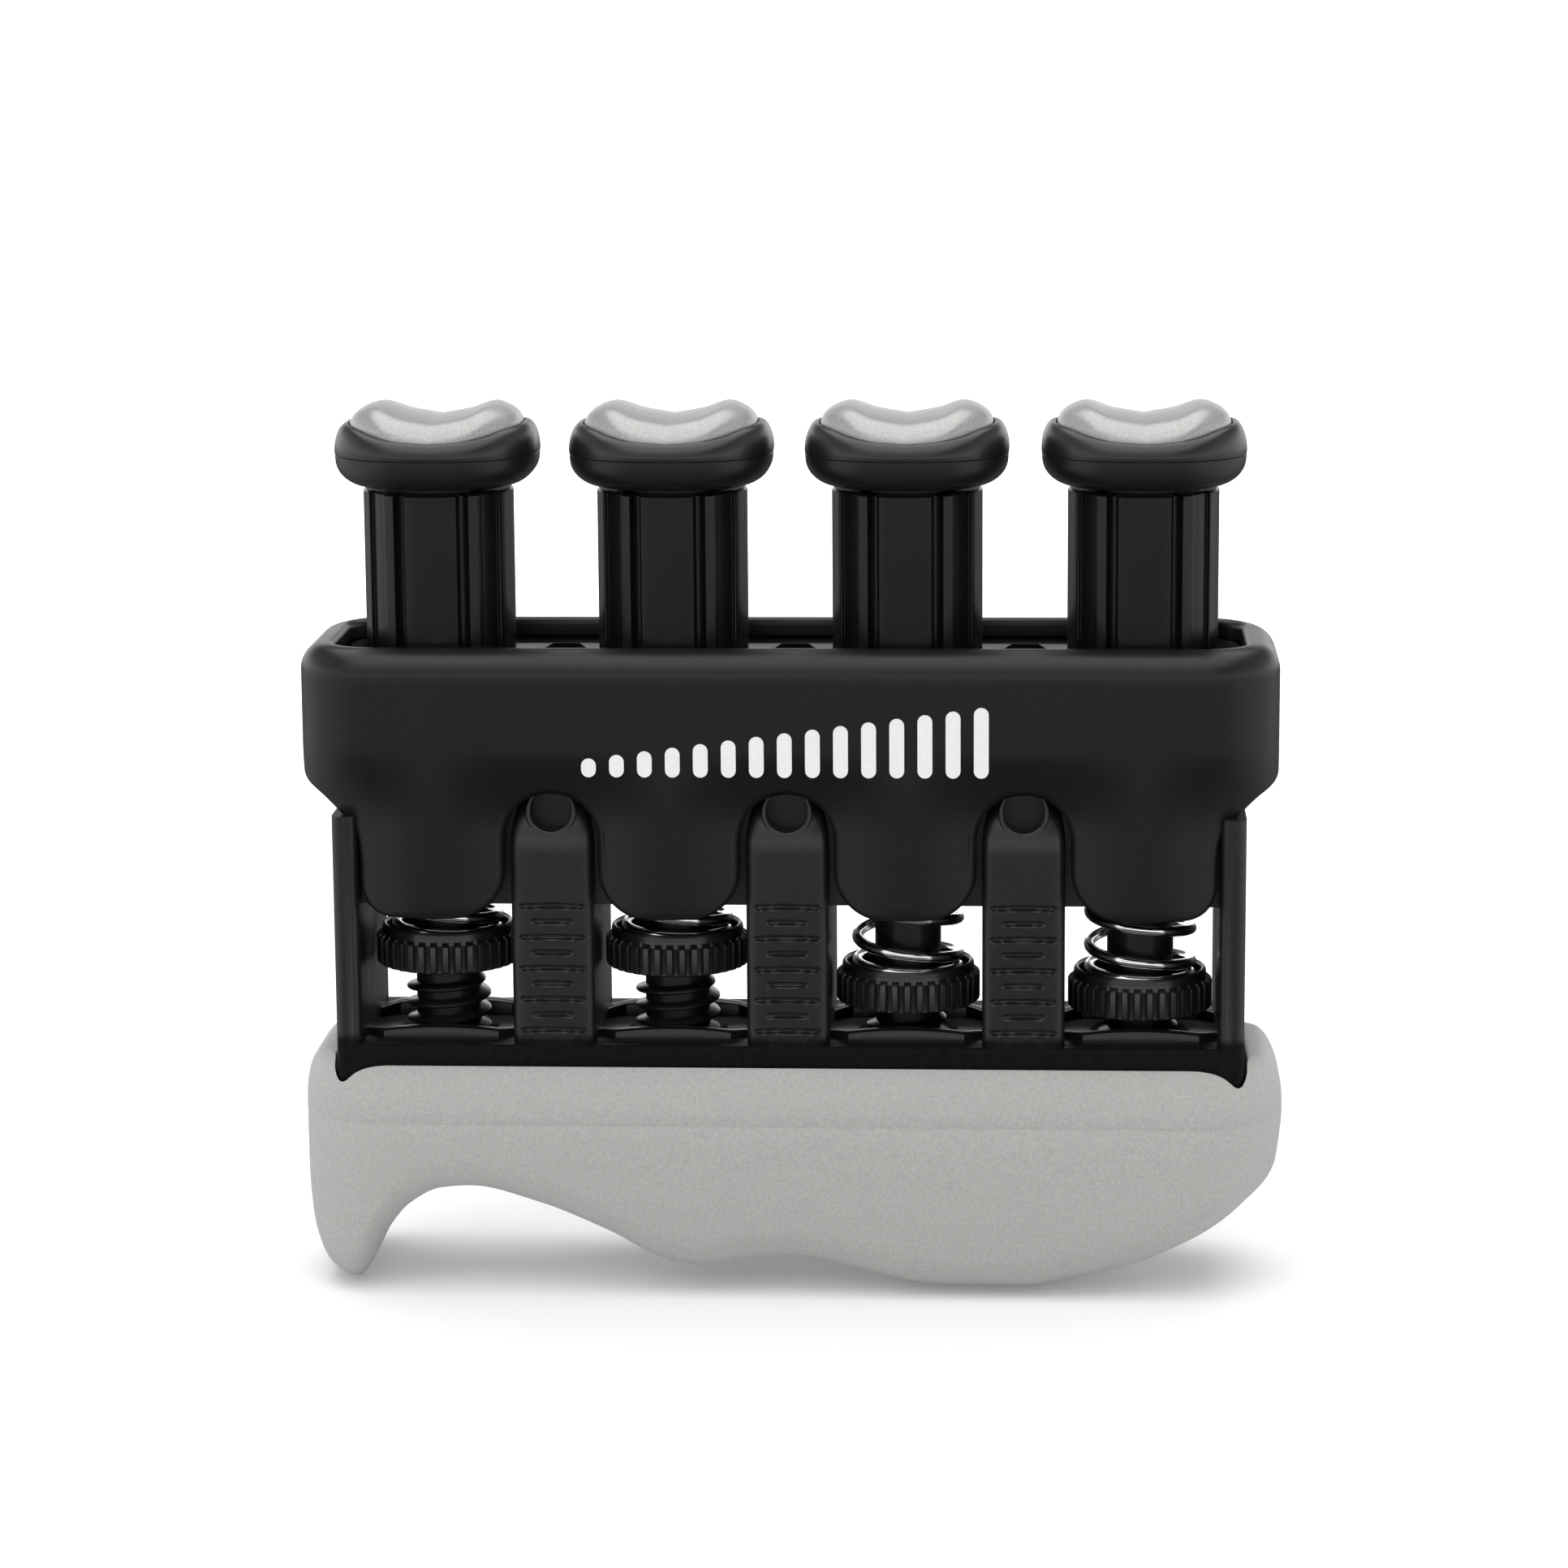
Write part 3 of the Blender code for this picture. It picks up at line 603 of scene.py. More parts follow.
GRIP_TOP_HALF = (40.0, 7.6)
GRIP_TOP_ROUND = 4.6
GRIP_SEAM_Z = 15.4
GRIP_EDGE_RISE = 4.0
GRIP_LAND = 4.0
GRIP_LAND_LOSS = 2.2
GRIP_PLAN_ROUND = 8.0
SEAM_HALF = 0.09
SEAM_DEPTH = 0.06
GRIP_END_RUN = 4.2
SEAT_CORNER = 1.5
SEAT_FLARE = 0.45
UNDERSIDE = [
    (-42.2, 7.0),
    (-41.4, 2.9),
    (-40.0, 0.6),
    (-38.7, 0.0),
    (-37.8, 0.0),
    (-36.6, 1.5),
    (-35.3, 4.2),
    (-33.0, 7.0),
    (-30.2, 8.4),
    (-27.6, 8.6),
    (-21.6, 7.15),
    (-15.9, 4.8),
    (-10.2, 2.05),
    (-7.6, 1.7),
    (-3.0, 2.35),
    (0.5, 2.6),
    (6.4, 1.35),
    (11.5, 0.15),
    (15.0, 0.0),
    (20.0, 0.0),
    (24.1, 0.75),
    (30.0, 2.35),
    (35.8, 5.1),
    (40.0, 7.9),
    (41.6, 10.0),
    (42.2, 14.0),
]


def grip_section(x):
    """The grip's closed outline in Y and Z at one x, with its parting line cut in."""
    half_x, half_y = GRIP_HIGH.x, GRIP_HIGH.y
    past = max(0.0, abs(x) - (half_x - GRIP_PLAN_ROUND))
    widest = half_y - GRIP_PLAN_ROUND + math.sqrt(max(0.0, GRIP_PLAN_ROUND**2 - past**2))
    over = max(0.0, abs(x) - GRIP_TOP_HALF[0]) / (half_x - GRIP_TOP_HALF[0])
    top = GRIP_HIGH.z - GRIP_TOP_ROUND * (1 - math.sqrt(max(0.0, 1 - over**2)))
    bottom = curve_through(UNDERSIDE, x)
    shoulder = widest - (half_y - GRIP_TOP_HALF[1]) * min(1.0, (top - GRIP_SEAM_Z) / 4)
    land = max(0.5, GRIP_LAND - GRIP_LAND_LOSS * (half_y - widest))
    edge_rise = min(GRIP_EDGE_RISE, (GRIP_SEAM_Z - bottom) * 0.8)
    under_seam = GRIP_SEAM_Z - SEAM_HALF
    over_seam = GRIP_SEAM_Z + SEAM_HALF
    side = [(shoulder * 0.94, top)]
    for a in quarter_turn(12):
        across = shoulder + (widest - shoulder) * math.sin(a) ** 0.9
        side.append((across, over_seam + (top - over_seam) * max(0.0, math.cos(a)) ** 0.8))
    side.append((widest - SEAM_DEPTH, GRIP_SEAM_Z))
    side.append((widest - 0.02, under_seam))
    for t in (0.2, 0.4, 0.6, 0.8):
        z = under_seam + (bottom + edge_rise - under_seam) * t
        side.append((widest - 0.02 - 0.13 * t * t, z))
    for a in quarter_turn(16):
        across = land + (widest - 0.15 - land) * math.cos(a)
        side.append((across, bottom + edge_rise * (1 - math.sin(a))))
    side.append((land * 0.5, bottom))
    loop = side + [(-y, z) for y, z in reversed(side)]
    return [(x, y, z) for y, z in loop]


def seat_outline(out):
    """The hollow that the frame stands in, widened by out."""
    half_x, half_y = FRAME_HIGH.x + CLEARANCE + out, FRAME_HIGH.y + CLEARANCE + out
    return rounded_rectangle(half_x, half_y, SEAT_CORNER + out)


def grip_mesh():
    """The grip's sections from end to end, with a seat for the frame that flares at its mouth."""
    ends = [GRIP_HIGH.x - GRIP_END_RUN * (1 - math.cos(a)) for a in quarter_turn(18)]
    inner = ends[-1]
    middle = [-inner + 2 * inner * k / 170 for k in range(1, 170)]
    places = [-x for x in ends] + middle + ends[::-1]
    body = loft("grip", [grip_section(x) for x in places], sharp=60)
    top = GRIP_HIGH.z
    rings = [level(seat_outline(0.0), z) for z in (FRAME_LOW.z - CLEARANCE, top - SEAT_FLARE)]
    for a in quarter_turn(6)[1:]:
        outline = seat_outline(SEAT_FLARE * (1 - math.cos(a)))
        rings.append(level(outline, top - SEAT_FLARE * (1 - math.sin(a))))
    rings.append(level(seat_outline(SEAT_FLARE), top + 1))
    return combined("grip_body", body, [("DIFFERENCE", loft("room", rings))], 60)


# ---------------------------------------------------------------- buttons

PLUNGER_RADIUS = 6.4
PLUNGER_TOP = 68.9
FLANGE = (6.85, 1.3)
SPRING_BORE = 5.05
SEAT_Z = 56.0
SEAT_RADIUS = 4.5
HOLLOW_TOP = 66.5
SPIGOT = 4.6
LAND_EDGE = 2.3
GROOVE_EDGE = 3.05
RIB_EDGE = 4.0
GROOVE_DEPTH = 0.7
STEP_DEPTH = 0.35
STEP_END = (5.2, 5.6)
CAP_HALF = (8.65, 8.2)
CAP_CORNER = 7.2
CAP_LOW = 69.2
CAP_SEAM = 71.9
CAP_RIM = [(0.0, 73.3), (2.6, 73.46), (5.0, 73.9), (6.6, 74.35), (8.65, 74.65)]
CAP_BULGE_Z = 72.15
CAP_SOCKET = (4.9, 71.0)
CAP_FOOT = (2.75, 2.3)
CAP_FLOOR = 72.5
CAP_LIP = 1.2
PAD_TOP = [(0.0, 75.0), (2.6, 75.45), (4.9, 76.12), (6.2, 75.98), (7.1, 75.9), (8.65, 75.6)]
PAD_FALL = 0.9
PAD_ROLL = (2.3, 1.55)
PAD_FLAT = 3.4


def past_edge(edge, x):
    """0 inside an edge and 1 outside it, with a soft corner."""
    return smoothstep(edge - 0.06, edge + 0.1, x)


def plunger_drop(x):
    """How far the plunger's front lies inside its full round at x: land, groove, rib, step."""
    groove = past_edge(LAND_EDGE, x) - past_edge(GROOVE_EDGE, x)
    step = past_edge(RIB_EDGE, x) - smoothstep(*STEP_END, x)
    return GROOVE_DEPTH * groove + STEP_DEPTH * step


def plunger_outline():
    """The plunger's plan, grooved alike at the front and the back."""
    back = []
    for a in quarter_turn(90):
        x = PLUNGER_RADIUS * math.sin(a)
        radius = PLUNGER_RADIUS - plunger_drop(x)
        x = min(x, radius)
        back.append((x, math.sqrt(max(0.0, radius**2 - x**2))))
    outline = [(x, -y) for x, y in back] + back[-2::-1]
    return outline + [(-x, y) for x, y in outline[-2:0:-1]]


def plunger_mesh():
    """The spigot, the ribbed body, the flange at its foot and the stepped bore inside."""
    outline = plunger_outline()
    angles = [math.atan2(y, x) for x, y in outline]

    def ring(radius, z):
        return [(radius * math.cos(a), radius * math.sin(a), z) for a in angles]

    low, top = (corner.z for corner in box("plunger_1"))
    rings = [
        ring(SPIGOT - 0.3, top),
        ring(SPIGOT, top - 0.3),
        ring(SPIGOT, PLUNGER_TOP),
        level([(x * 0.97, y * 0.97) for x, y in outline], PLUNGER_TOP),
        level(outline, PLUNGER_TOP - 0.2),
        level(outline, low + FLANGE[1]),
        ring(FLANGE[0], low + FLANGE[1]),
        ring(FLANGE[0], low),
        ring(SPRING_BORE, low),
        ring(SPRING_BORE, SEAT_Z),
        ring(SEAT_RADIUS, SEAT_Z),
        ring(SEAT_RADIUS, HOLLOW_TOP),
    ]
    return loft("plunger_body", rings, sharp=30)


def cap_outline(inset):
    """The cap's plan, moved in by inset."""
    half_x, half_y = CAP_HALF
    return rounded_rectangle(half_x - inset, half_y - inset, CAP_CORNER - inset, 20, 3)


def rim_ring(inset, share):
    """The cap's plan at a share of the height from its bulge to a rim that climbs to both ends."""
    ring = []
    for x, y in cap_outline(inset):
        rim = curve_through(CAP_RIM, abs(x))
        ring.append((x, y, CAP_BULGE_Z + (rim - CAP_BULGE_Z) * share))
    return ring


def cap_mesh():
    """A collar that swells from a rounded foot to its parting line and rolls over at the rim."""
    radius, top = CAP_SOCKET
    angles = [math.atan2(y, x) for x, y in cap_outline(0)]
    socket = [(radius * math.cos(a), radius * math.sin(a)) for a in angles]
    rings = [level(socket, top), level(socket, CAP_LOW)]
    for a in quarter_turn(12):
        outline = cap_outline(0.06 + CAP_FOOT[0] * (1 - math.sin(a)))
        rings.append(level(outline, CAP_LOW + CAP_FOOT[1] * (1 - math.cos(a))))
    for inset, rise in [(0.04, -0.2), (0.03, -0.05), (0.09, 0.0), (0.02, 0.05)]:
        rings.append(level(cap_outline(inset), CAP_SEAM + rise))
    for a in quarter_turn(16):
        rings.append(rim_ring(CAP_LIP * (1 - math.cos(a)), math.sin(a)))
    rings.append(rim_ring(CAP_LIP + 0.05, 0.96))
    rings.append(level(cap_outline(CAP_LIP + 0.05), CAP_FLOOR))
    return loft("cap_body", rings, sharp=45)


def saddle(outline, drop):
    """The pad's dipped top over an outline, falling away to the front and back, less a drop."""
    fall = PAD_FALL / CAP_HALF[1] ** 2
    return [(x, y, curve_through(PAD_TOP, abs(x)) - drop - fall * y * y) for x, y in outline]


def pad_mesh():
    """A finger pad that rolls over all round its top."""
    edge = CAP_LIP + 0.15
    across, down = PAD_ROLL
    rings = [level(cap_outline(edge), CAP_FLOOR + CLEARANCE)]
    steps = [(across * (1 - math.cos(a)), down * (1 - math.sin(a))) for a in quarter_turn(20)]
    steps += [(across + PAD_FLAT * k / 12, 0.0) for k in range(1, 13)]
    rings += [saddle(cap_outline(edge + inset), drop) for inset, drop in steps]
    middle = cap_outline(edge + across + PAD_FLAT)
    for share in (0.8, 0.6, 0.4, 0.2, 0.05):
        rings.append(saddle([(x * share, y * share) for x, y in middle], 0.0))
    return loft("pad_body", rings, sharp=60)


# ---------------------------------------------------------------- adjusters and springs

WHEEL_RADIUS = 6.2
WHEEL_TEETH = 36
TOOTH_SIDE = [(0.0, 0.0), (0.14, 0.0), (0.2, 0.12), (0.26, 0.88), (0.3, 1.0)]
TOOTH_DEPTH = 0.42
KNURL_HEIGHT = 2.8
WHEEL_HEIGHT = 3.6
CUP_FLOOR = 2.2
CUP_RADIUS = 5.2
CUP_RIM = 0.42
ROD_RADIUS = 2.85
ROD_TOP = 20.0
THREAD_RADIUS = 3.65
THREAD_ROOT = 2.8
THREAD_PITCH = 1.42
SCREW_LENGTH = 10.6
NECK_LENGTH = 1.0
WHEEL_TURN = [0.0, 3.0, 6.0, 2.0]
WIRE_RADIUS = 0.475
COIL_RADIUS = 4.375
ACTIVE_PITCH = 3.1
CLOSED_TURNS = 1.0


def tooth_ring(depth, inset, z):
    """The wheel's outline with flat-topped teeth of a given depth, moved in by inset."""
    points = []
    per_tooth = [*TOOTH_SIDE, (0.5, 1.0)]
    per_tooth += [(1 - share, rise) for share, rise in reversed(TOOTH_SIDE[1:])]
    for tooth in range(WHEEL_TEETH):
        for share, rise in per_tooth:
            angle = math.tau * (tooth + share) / WHEEL_TEETH
            radius = WHEEL_RADIUS - inset - depth * (1 - rise)
            points.append((radius * math.cos(angle), radius * math.sin(angle)))
    return level(points, z)


def wheel_rings():
    """The knurled wheel up to its cup, the teeth running out in a cone below the rim."""
    steps = [(0.0, 1.2, 0.0), (0.0, 0.62, 0.0), (0.25, 0.15, 0.12), (TOOTH_DEPTH, 0.0, 0.3)]
    steps.append((TOOTH_DEPTH, 0.0, KNURL_HEIGHT - 0.35))
    steps.append((TOOTH_DEPTH - 0.05, 0.02, KNURL_HEIGHT - 0.3))
    steps += [(0.0, TOOTH_DEPTH, KNURL_HEIGHT), (0.0, 0.5, KNURL_HEIGHT + 0.25)]
    for k in range(7):
        a = math.pi * k / 6
        inset = 0.5 + 0.6 * CUP_RIM * (1 - math.cos(a))
        steps.append((0.0, inset, WHEEL_HEIGHT - CUP_RIM + CUP_RIM * math.sin(a)))
    wall = WHEEL_RADIUS - CUP_RADIUS
    steps += [(0.0, wall, WHEEL_HEIGHT - CUP_RIM - 0.1), (0.0, wall, CUP_FLOOR)]
    return [tooth_ring(*step) for step in steps]


def thread_rings():
    """Sections of the right-handed ridge that winds up the screw, running out at both ends."""
    first = -SCREW_LENGTH + 0.6
    steps = 40
    count = int((-NECK_LENGTH - 0.35 - first) / THREAD_PITCH * steps)
    root = THREAD_ROOT - 0.1
    sections = []
    for i in range(count + 1):
        angle = math.tau * i / steps
        z = first + THREAD_PITCH * i / steps
        run = min(1.0, i / 10, (count - i) / 10)
        crest = root + (THREAD_RADIUS - root) * math.sqrt(run)
        profile = [(THREAD_ROOT - 0.4, -0.55), (THREAD_ROOT, -0.42)]
        profile += [(crest - 0.12, -0.2), (crest, -0.08)]
        profile += [(r, -rise) for r, rise in reversed(profile)]
        out = Vector((math.cos(angle), math.sin(angle), 0))
        sections.append([out * r + Vector((0, 0, z + rise)) for r, rise in profile])
    return sections


def adjuster_mesh():
    """The wheel and cup with the screw's core and thread below and the guide rod above."""
    core = [(THREAD_ROOT - 0.5, -SCREW_LENGTH)]
    core += [(THREAD_ROOT, z) for z in (-SCREW_LENGTH + 0.5, 0.5)]
    rod = [(ROD_RADIUS, 0.4), (ROD_RADIUS, ROD_TOP - 0.5), (ROD_RADIUS - 0.5, ROD_TOP)]
    wheel = loft("wheel", wheel_rings())
    steps = [("UNION", loft("core", turned(core, 64))), ("UNION", loft("rod", turned(rod, 64)))]
    steps.append(("UNION", loft("thread", thread_rings())))
    return combined("adjuster_body", wheel, steps, 32)


def spring_mesh(name, bottom, top):
    """A left-handed coil between two heights, its end turns closed and the rest evenly open."""
    steps = 48
    closed_rise = 2 * WIRE_RADIUS * 1.06
    span = top - bottom - 2 * WIRE_RADIUS - 2 * CLOSED_TURNS * closed_rise
    open_turns = round(span / ACTIVE_PITCH)
    total = open_turns + 2 * CLOSED_TURNS

    def height(turn):
        low_part = min(turn, CLOSED_TURNS)
        high_part = max(0.0, turn - CLOSED_TURNS - open_turns)
        middle = turn - low_part - high_part
        closed = (low_part + high_part) * closed_rise
        return bottom + WIRE_RADIUS + closed + middle * span / open_turns

    wire = circle(WIRE_RADIUS, 14, (COIL_RADIUS, 0.0))
    rings = []
    for i in range(int(total * steps) + 1):
        turn = i / steps
        reach = min(0.12, turn, total - turn)
        near = [turn + reach * share for share in (-1.0, -0.5, 0.0, 0.5, 1.0)]
        z = sum(height(t) for t in near) / len(near)
        out = Vector((math.cos(math.tau * turn), -math.sin(math.tau * turn), 0))
        rings.append([out * r + Vector((0, 0, z + rise)) for r, rise in wire])
    return loft(name, rings, sharp=60)


# ---------------------------------------------------------------- printed scale on the front


BAR_COUNT = 15
BAR_PITCH = 2.35
BAR_HALF = 0.62
BAR_HEIGHTS = (1.6, 6.0)
BAR_BELOW_TOP = 10.6
BAR_DEPTHS = (0.06, -0.05)


def print_mesh():
    """A row of upright bars that grow from left to right, standing a hair off the wall."""
    low = HOUSING_HIGH.z - BAR_BELOW_TOP
    shortest, tallest = BAR_HEIGHTS
    bars = []
    for k in range(BAR_COUNT):
        x = BAR_PITCH * (k - (BAR_COUNT - 1) / 2)
        high = low + shortest + (tallest - shortest) * k / (BAR_COUNT - 1)
        outline = arc((x, high - BAR_HALF), BAR_HALF, 0, 180, 12)
        outline += arc((x, low + BAR_HALF), BAR_HALF, 180, 360, 12)
        bars.append([[(px, HOUSING_LOW.y + y, pz) for px, pz in outline] for y in BAR_DEPTHS])
    return loft("front_scale", *bars)


# ---------------------------------------------------------------- finishes

CLOUD_SCALE = 90.0
WAVE_HEIGHT = 0.00002
# Frame specular levels: the low one is painted shade on the rail's outer faces, the high one the
# ordinary level.
PAINTED_SHADE_SPECULAR, SHINY = 0.02, 0.5

def shader_of(name):
    """A new material with its node tree and its Principled shader."""
    made = bpy.data.materials.new(name)
    made.use_nodes = True
    return made, made.node_tree, made.node_tree.nodes["Principled BSDF"]


def noise(tree, scale, detail=3.0, stretch=(1.0, 1.0, 1.0)):
    """Noise through the object's own space, with a scale in features a metre."""
    place = tree.nodes.new("ShaderNodeTexCoord")
    mapping = tree.nodes.new("ShaderNodeMapping")
    mapping.inputs["Scale"].default_value = stretch
    made = tree.nodes.new("ShaderNodeTexNoise")
    made.inputs["Scale"].default_value = scale
    made.inputs["Detail"].default_value = detail
    tree.links.new(place.outputs["Object"], mapping.inputs["Vector"])
    tree.links.new(mapping.outputs["Vector"], made.inputs["Vector"])
    return made.outputs["Fac"]


def ramp(tree, value, start, end, below, above, soft=False):
    """A number that goes from one result to another while a value goes from start to end."""
    made = tree.nodes.new("ShaderNodeMapRange")
    made.interpolation_type = "SMOOTHSTEP" if soft else "LINEAR"
    made.inputs["From Min"].default_value = start
    made.inputs["From Max"].default_value = end
    made.inputs["To Min"].default_value = below
    made.inputs["To Max"].default_value = above
    tree.links.new(value, made.inputs["Value"])
    return made.outputs["Result"]


def spread(tree, source, low, high):
    """A number that follows noise between two values."""
    return ramp(tree, source, 0.3, 0.7, low, high)


def calculated(tree, operation, *values):
    """The result of a Math node fed with the values."""
    made = tree.nodes.new("ShaderNodeMath")
    made.operation = operation
    for value, socket in zip(values, made.inputs):
        tree.links.new(value, socket)
    return made.outputs["Value"]


def coordinates(tree, kind):
    """The X, Y and Z outputs of a kind of texture coordinate."""
    place = tree.nodes.new("ShaderNodeTexCoord")
    parts = tree.nodes.new("ShaderNodeSeparateXYZ")
    tree.links.new(place.outputs[kind], parts.inputs["Vector"])
    return parts.outputs


def tinted(tree, source, dark, light):
    """A colour between two, by a number from 0 to 1."""
    made = tree.nodes.new("ShaderNodeMix")
    made.data_type = "RGBA"
    made.inputs["A"].default_value = (*dark, 1.0)
    made.inputs["B"].default_value = (*light, 1.0)
    tree.links.new(source, made.inputs["Factor"])
    return made.outputs["Result"]


def bumped(tree, source, height, under=None):
    """A surface normal raised by a number, over another normal if one is given."""
    made = tree.nodes.new("ShaderNodeBump")
    made.inputs["Distance"].default_value = height
    tree.links.new(source, made.inputs["Height"])
    if under:
        tree.links.new(under, made.inputs["Normal"])
    return made.outputs["Normal"]


def plastic(name, colour, uneven, grain_scale):
    """The start of a moulded plastic: its shader, its tint, and its slow and fine noise."""
    made, tree, shader = shader_of(name)
    cloud, grain = noise(tree, CLOUD_SCALE, 2.0), noise(tree, grain_scale, 4.0)
    dark, light = [tuple(c * (1 + side * uneven) for c in colour) for side in (-1, 1)]
    tint = tinted(tree, spread(tree, grain, 0.0, 1.0), dark, light)
    tree.links.new(tint, shader.inputs["Base Color"])
    return made, tree, shader, cloud, grain


def moulded(name, colour, roughness, grain, grain_scale=2600.0, uneven=0.12, specular=0.32):
    """Moulded plastic with a fine spark-eroded grain and a slow waviness."""
    made, tree, shader, cloud, fine = plastic(name, colour, uneven, grain_scale)
    rough = spread(tree, cloud, roughness * 0.93, roughness * 1.07)
    tree.links.new(rough, shader.inputs["Roughness"])
    normal = bumped(tree, fine, grain, under=bumped(tree, cloud, WAVE_HEIGHT))
    tree.links.new(normal, shader.inputs["Normal"])
    shader.inputs["Specular IOR Level"].default_value = specular
    return made


def frame_plastic(name, colour, roughness, grain, rail_z, deck_z):
    """Grained moulding, polished on the deck, with painted shade on the rail's outer faces, whose
    shine is cut below the rail's top. Heights are in metres.
    """
    made, tree, shader, cloud, fine = plastic(name, colour, 0.2, 1700.0)
    place = coordinates(tree, "Object")
    inward = calculated(tree, "ABSOLUTE", place["Y"])
    # Painted shade: below the rail's top, the outer faces get almost no specular, so they stay dark
    # as if shaded.
    above_rail = ramp(tree, place["Z"], rail_z, rail_z + 0.0006, PAINTED_SHADE_SPECULAR, SHINY)
    inside_rail = ramp(tree, inward, 0.006, 0.007, SHINY, PAINTED_SHADE_SPECULAR)
    specular_with_painted_shade = calculated(tree, "MAXIMUM", above_rail, inside_rail)
    tree.links.new(specular_with_painted_shade, shader.inputs["Specular IOR Level"])
    polish = ramp(tree, place["Z"], deck_z, deck_z + 0.0004, 1.0, 0.3)
    rough = spread(tree, cloud, roughness * 0.93, roughness * 1.07)
    tree.links.new(calculated(tree, "MULTIPLY", rough, polish), shader.inputs["Roughness"])
    normal = bumped(tree, fine, grain)
    tree.links.new(polish, normal.node.inputs["Strength"])
    tree.links.new(normal, shader.inputs["Normal"])
    return made


def soft_touch():
    """Grey elastomer with a speckled matt skin and a faint bloom at grazing angles."""
    made, tree, shader = shader_of("grey_soft_touch")
    cloud, speck = noise(tree, 60.0, 3.0), noise(tree, 3600.0, 3.0)
    colour = tinted(tree, spread(tree, speck, 0.0, 1.0), (0.385, 0.39, 0.375), (0.46, 0.465, 0.445))
    tree.links.new(colour, shader.inputs["Base Color"])
    tree.links.new(spread(tree, cloud, 0.56, 0.66), shader.inputs["Roughness"])
    tree.links.new(bumped(tree, speck, 0.000012), shader.inputs["Normal"])
    shader.inputs["Sheen Weight"].default_value = 0.12
    shader.inputs["Sheen Roughness"].default_value = 0.5
    return made


def silver_pad():
    """Satin silver-grey moulding with fine flecks."""
    made, tree, shader = shader_of("silver_grey_pad")
    cloud, fleck = noise(tree, 120.0, 2.0), noise(tree, 5200.0, 2.0)
    colour = tinted(tree, spread(tree, fleck, 0.0, 1.0), (0.31, 0.315, 0.305), (0.40, 0.405, 0.39))
    tree.links.new(colour, shader.inputs["Base Color"])
    tree.links.new(spread(tree, cloud, 0.33, 0.42), shader.inputs["Roughness"])
    tree.links.new(bumped(tree, fleck, 0.000004), shader.inputs["Normal"])
    shader.inputs["Metallic"].default_value = 0.35
    return made


def spring_steel():
    """Dark drawn wire with fine marks and a bright polish."""
    made, tree, shader = shader_of("dark_spring_steel")
    streak, cloud = noise(tree, 900.0, 4.0, (1.0, 1.0, 6.0)), noise(tree, 200.0, 2.0)
    colour = tinted(tree, spread(tree, cloud, 0.0, 1.0), (0.66, 0.65, 0.64), (0.86, 0.85, 0.84))
    tree.links.new(colour, shader.inputs["Base Color"])
    tree.links.new(spread(tree, streak, 0.10, 0.22), shader.inputs["Roughness"])
    tree.links.new(bumped(tree, streak, 0.000002), shader.inputs["Normal"])
    shader.inputs["Metallic"].default_value = 1.0
    return made


# Painted light: the floor glows faintly near the object and strongly further out, between these
# distances in metres.
GLOW_REACH = (0.06, 0.5)
FLOOR_GLOW = (0.14, 0.9)
COVE_GLOW = (1.1, 1.1)


def paper_white(name, near_glow, far_glow):
    """Near-white paper, a little uneven, with a painted glow that grows away from the middle,
    leaving it dimmer near the middle where the object stands.
    """
    made, tree, shader = shader_of(name)
    cloud = noise(tree, 8.0, 2.0)
    tone = tinted(tree, spread(tree, cloud, 0.0, 1.0), (0.88, 0.88, 0.88), (0.92, 0.92, 0.92))
    tree.links.new(tone, shader.inputs["Base Color"])
    shader.inputs["Roughness"].default_value = 0.9
    shader.inputs["Emission Color"].default_value = (1.0, 1.0, 1.0, 1.0)
    place = tree.nodes.new("ShaderNodeTexCoord")
    reach = tree.nodes.new("ShaderNodeVectorMath")
    reach.operation = "LENGTH"
    tree.links.new(place.outputs["Object"], reach.inputs[0])
    # Painted light: the glow rises with distance from the middle.
    glow = ramp(tree, reach.outputs["Value"], *GLOW_REACH, near_glow, far_glow, soft=True)
    tree.links.new(glow, shader.inputs["Emission Strength"])
    return made


# ---------------------------------------------------------------- assembly

FINE_GRAIN = 0.0000030
COARSE_GRAIN = 0.000009

def black_finishes():
    """Housing, frame, plunger, cap and wheel plastics: near blacks, each with its own shine, the
    frame's with painted shade round its rail.
    """
    heights = (RAIL_TOP + 0.4) * MM, (DECK_LOW + 0.5) * MM
    housing = moulded("black_satin_plastic", (0.0055, 0.0060, 0.0062), 0.36, FINE_GRAIN)
    frame_colour = (0.0085, 0.0080, 0.0080)
    frame_black = frame_plastic("black_frame_plastic", frame_colour, 0.36, COARSE_GRAIN, *heights)
    plunger = moulded("black_gloss_plastic", (0.0060, 0.0056, 0.0057), 0.26, FINE_GRAIN, 1500.0)
    cap = moulded("cap_satin_plastic", (0.0080, 0.0080, 0.0082), 0.34, FINE_GRAIN, specular=0.45)
    wheel = moulded("dark_grey_plastic", (0.0130, 0.0125, 0.0124), 0.28, 0.0000025, specular=0.5)
    return housing, frame_black, plunger, cap, wheel


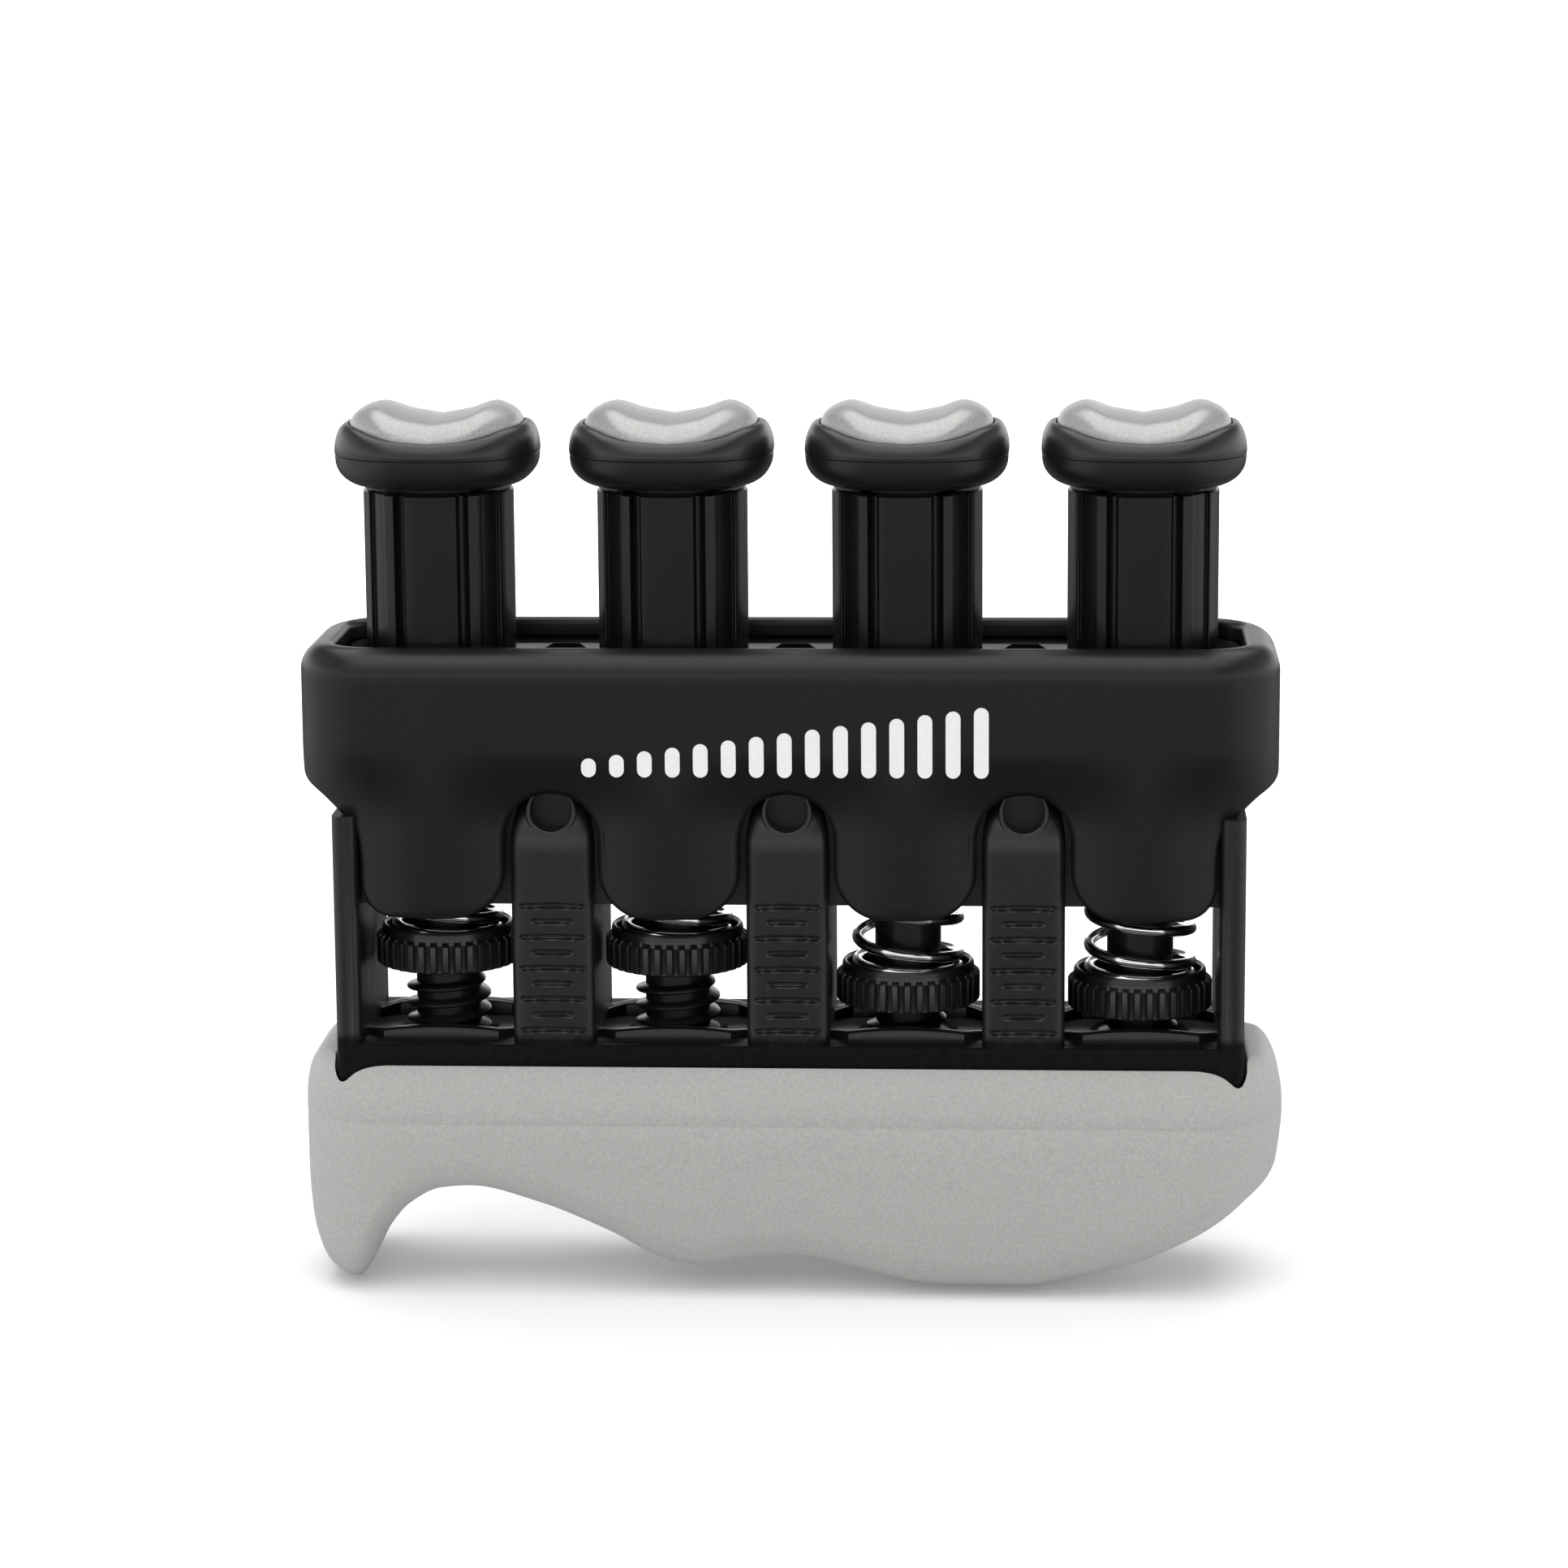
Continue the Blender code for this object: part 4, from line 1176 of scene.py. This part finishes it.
def build_object():
    """Every piece, each on the body that carries it."""
    housing_black, frame_black, plunger_black, cap_black, wheel_black = black_finishes()
    print_white = moulded("white_print", (0.80, 0.80, 0.79), 0.5, 0.0000020, uneven=0.03)
    steel, pad_grey = spring_steel(), silver_pad()
    piece("housing_shell", housing_mesh(), "base", housing_black, "housing")
    piece("inner_frame", frame_mesh(), "base", frame_black, "frame")
    piece("moulded_grip", grip_mesh(), "base", soft_touch(), "palm_grip")
    marks = piece("front_scale_print", print_mesh(), "base", print_white, None)
    plunger, cap, pad, adjuster = plunger_mesh(), cap_mesh(), pad_mesh(), adjuster_mesh()
    for n, x in enumerate(BUTTON_X, start=1):
        place = (x, 0.0, 0.0)
        for name, mesh, finish in [
            (f"plunger_{n}", plunger, plunger_black),
            (f"button_cap_{n}", cap, cap_black),
            (f"finger_pad_{n}", pad, pad_grey),
        ]:
            piece(f"{name}_body", mesh, f"button_{n}", finish, name, place)
        hub = (x, 0.0, box(f"adjuster_{n}")[0].z + SCREW_LENGTH)
        wheel = piece(
            f"thumb_wheel_{n}", adjuster, f"wheel_{n}", wheel_black, f"adjuster_{n}", hub
        )
        wheel.rotation_euler.z = math.radians(WHEEL_TURN[n - 1])
        low, high = (corner.z for corner in box(f"spring_{n}"))
        mesh = spring_mesh(f"coil_{n}", low, high)
        coil = piece(f"coil_spring_{n}", mesh, f"coil_{n}", steel, f"spring_{n}", place)
        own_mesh(coil)


# ---------------------------------------------------------------- studio

CAMERA_AZIMUTH = 3.3
CAMERA_ELEVATION = 11.0
CAMERA_ROLL = -0.41
CAMERA_DISTANCE = 0.398
CAMERA_AIM = (-0.00066, 0.0, 0.0431)
CAMERA_LENS = 106.2


def add_camera():
    """The camera, a little above the object and to its right."""
    lens = bpy.data.cameras.new("camera")
    lens.lens = CAMERA_LENS
    lens.sensor_width = 36.0
    lens.clip_start, lens.clip_end = 0.01, 20.0
    camera = bpy.data.objects.new("camera", lens)
    a, e = math.radians(CAMERA_AZIMUTH), math.radians(CAMERA_ELEVATION)
    back = Vector((math.sin(a) * math.cos(e), -math.cos(a) * math.cos(e), math.sin(e)))
    camera.location = Vector(CAMERA_AIM) + back * CAMERA_DISTANCE
    camera.rotation_mode = "QUATERNION"
    roll = Quaternion((0, 0, 1), math.radians(CAMERA_ROLL))
    camera.rotation_quaternion = (-back).to_track_quat("-Z", "Y") @ roll
    bpy.context.scene.collection.objects.link(camera)
    bpy.context.scene.camera = camera


def add_softbox(name, place, aim, size, power):
    """A rectangular area light that faces a point. Sizes are in metres and power in watts."""
    lamp = bpy.data.lights.new(name, "AREA")
    lamp.shape = "RECTANGLE"
    lamp.size, lamp.size_y = size
    lamp.energy = power
    made = bpy.data.objects.new(name, lamp)
    made.location = place
    made.rotation_mode = "QUATERNION"
    made.rotation_quaternion = (Vector(aim) - Vector(place)).to_track_quat("-Z", "Y")
    bpy.context.scene.collection.objects.link(made)


ROOM_FRONT = 0.15
ROOM_SIDE = 0.75
ROOM_REACH = (0.45, 0.95)
FLOOR_RADIUS = 1.0
COVE_PROFILE = [(1.0, 0.0), (1.25, 0.02), (1.45, 0.10), (1.58, 0.26), (1.62, 0.5)]


def stage_piece(name, rings, glow, filled=False):
    """A round part of the studio, lit by its own glow; the floor's glow is painted light that grows
    away from the middle.
    """
    bm = bmesh.new()
    rows = [[bm.verts.new(point) for point in ring] for ring in rings]
    for low, high in zip(rows, rows[1:]):
        for k in range(len(low)):
            n = (k + 1) % len(low)
            bm.faces.new((low[n], low[k], high[k], high[n]))
    if filled:
        bm.faces.new(rows[0])
    mesh = bpy.data.meshes.new(name)
    bm.to_mesh(mesh)
    bm.free()
    mesh.shade_smooth()
    mesh.materials.append(paper_white(f"{name}_paper", *glow))
    made = bpy.data.objects.new(name, mesh)
    bpy.context.scene.collection.objects.link(made)
    return made


def add_floor():
    """A round white floor in a low white cove. Reflections show the dim room, not the floor."""
    table = [level(circle(r, 96), 0.0) for r in (FLOOR_RADIUS / 10, FLOOR_RADIUS)]
    cove = [level(circle(r, 96), z) for r, z in COVE_PROFILE]
    # The floor's glow is painted light, dim under the object and bright further out.
    floor = stage_piece("floor", table, FLOOR_GLOW, filled=True)
    floor.visible_glossy = False
    backdrop = stage_piece("cove", cove, COVE_GLOW)
    backdrop.visible_diffuse = False


def add_room():
    """A dim room, lighter to both sides, so that upright rounds catch a soft line on each flank."""
    world = bpy.data.worlds.new("studio")
    world.use_nodes = True
    world.cycles.sampling_method = "NONE"
    tree = world.node_tree
    background = tree.nodes["Background"]
    background.inputs["Color"].default_value = (1.0, 1.0, 1.0, 1.0)
    aside = calculated(tree, "ABSOLUTE", coordinates(tree, "Generated")["X"])
    glow = ramp(tree, aside, *ROOM_REACH, ROOM_FRONT, ROOM_SIDE, soft=True)
    tree.links.new(glow, background.inputs["Strength"])
    bpy.context.scene.world = world


def add_studio():
    """The room, the two softboxes and plain colour handling."""
    add_room()
    centre = (0.0, 0.0, 0.04)
    add_softbox("overhead", (0.0, 0.05, 0.75), centre, (0.9, 1.3), 8.5)
    add_softbox("front", (-0.15, -0.6, 0.55), centre, (0.9, 0.4), 1.3)
    view = bpy.context.scene.view_settings
    view.view_transform = "Standard"
    view.look = "None"


build_object()
add_floor()
add_camera()
add_studio()
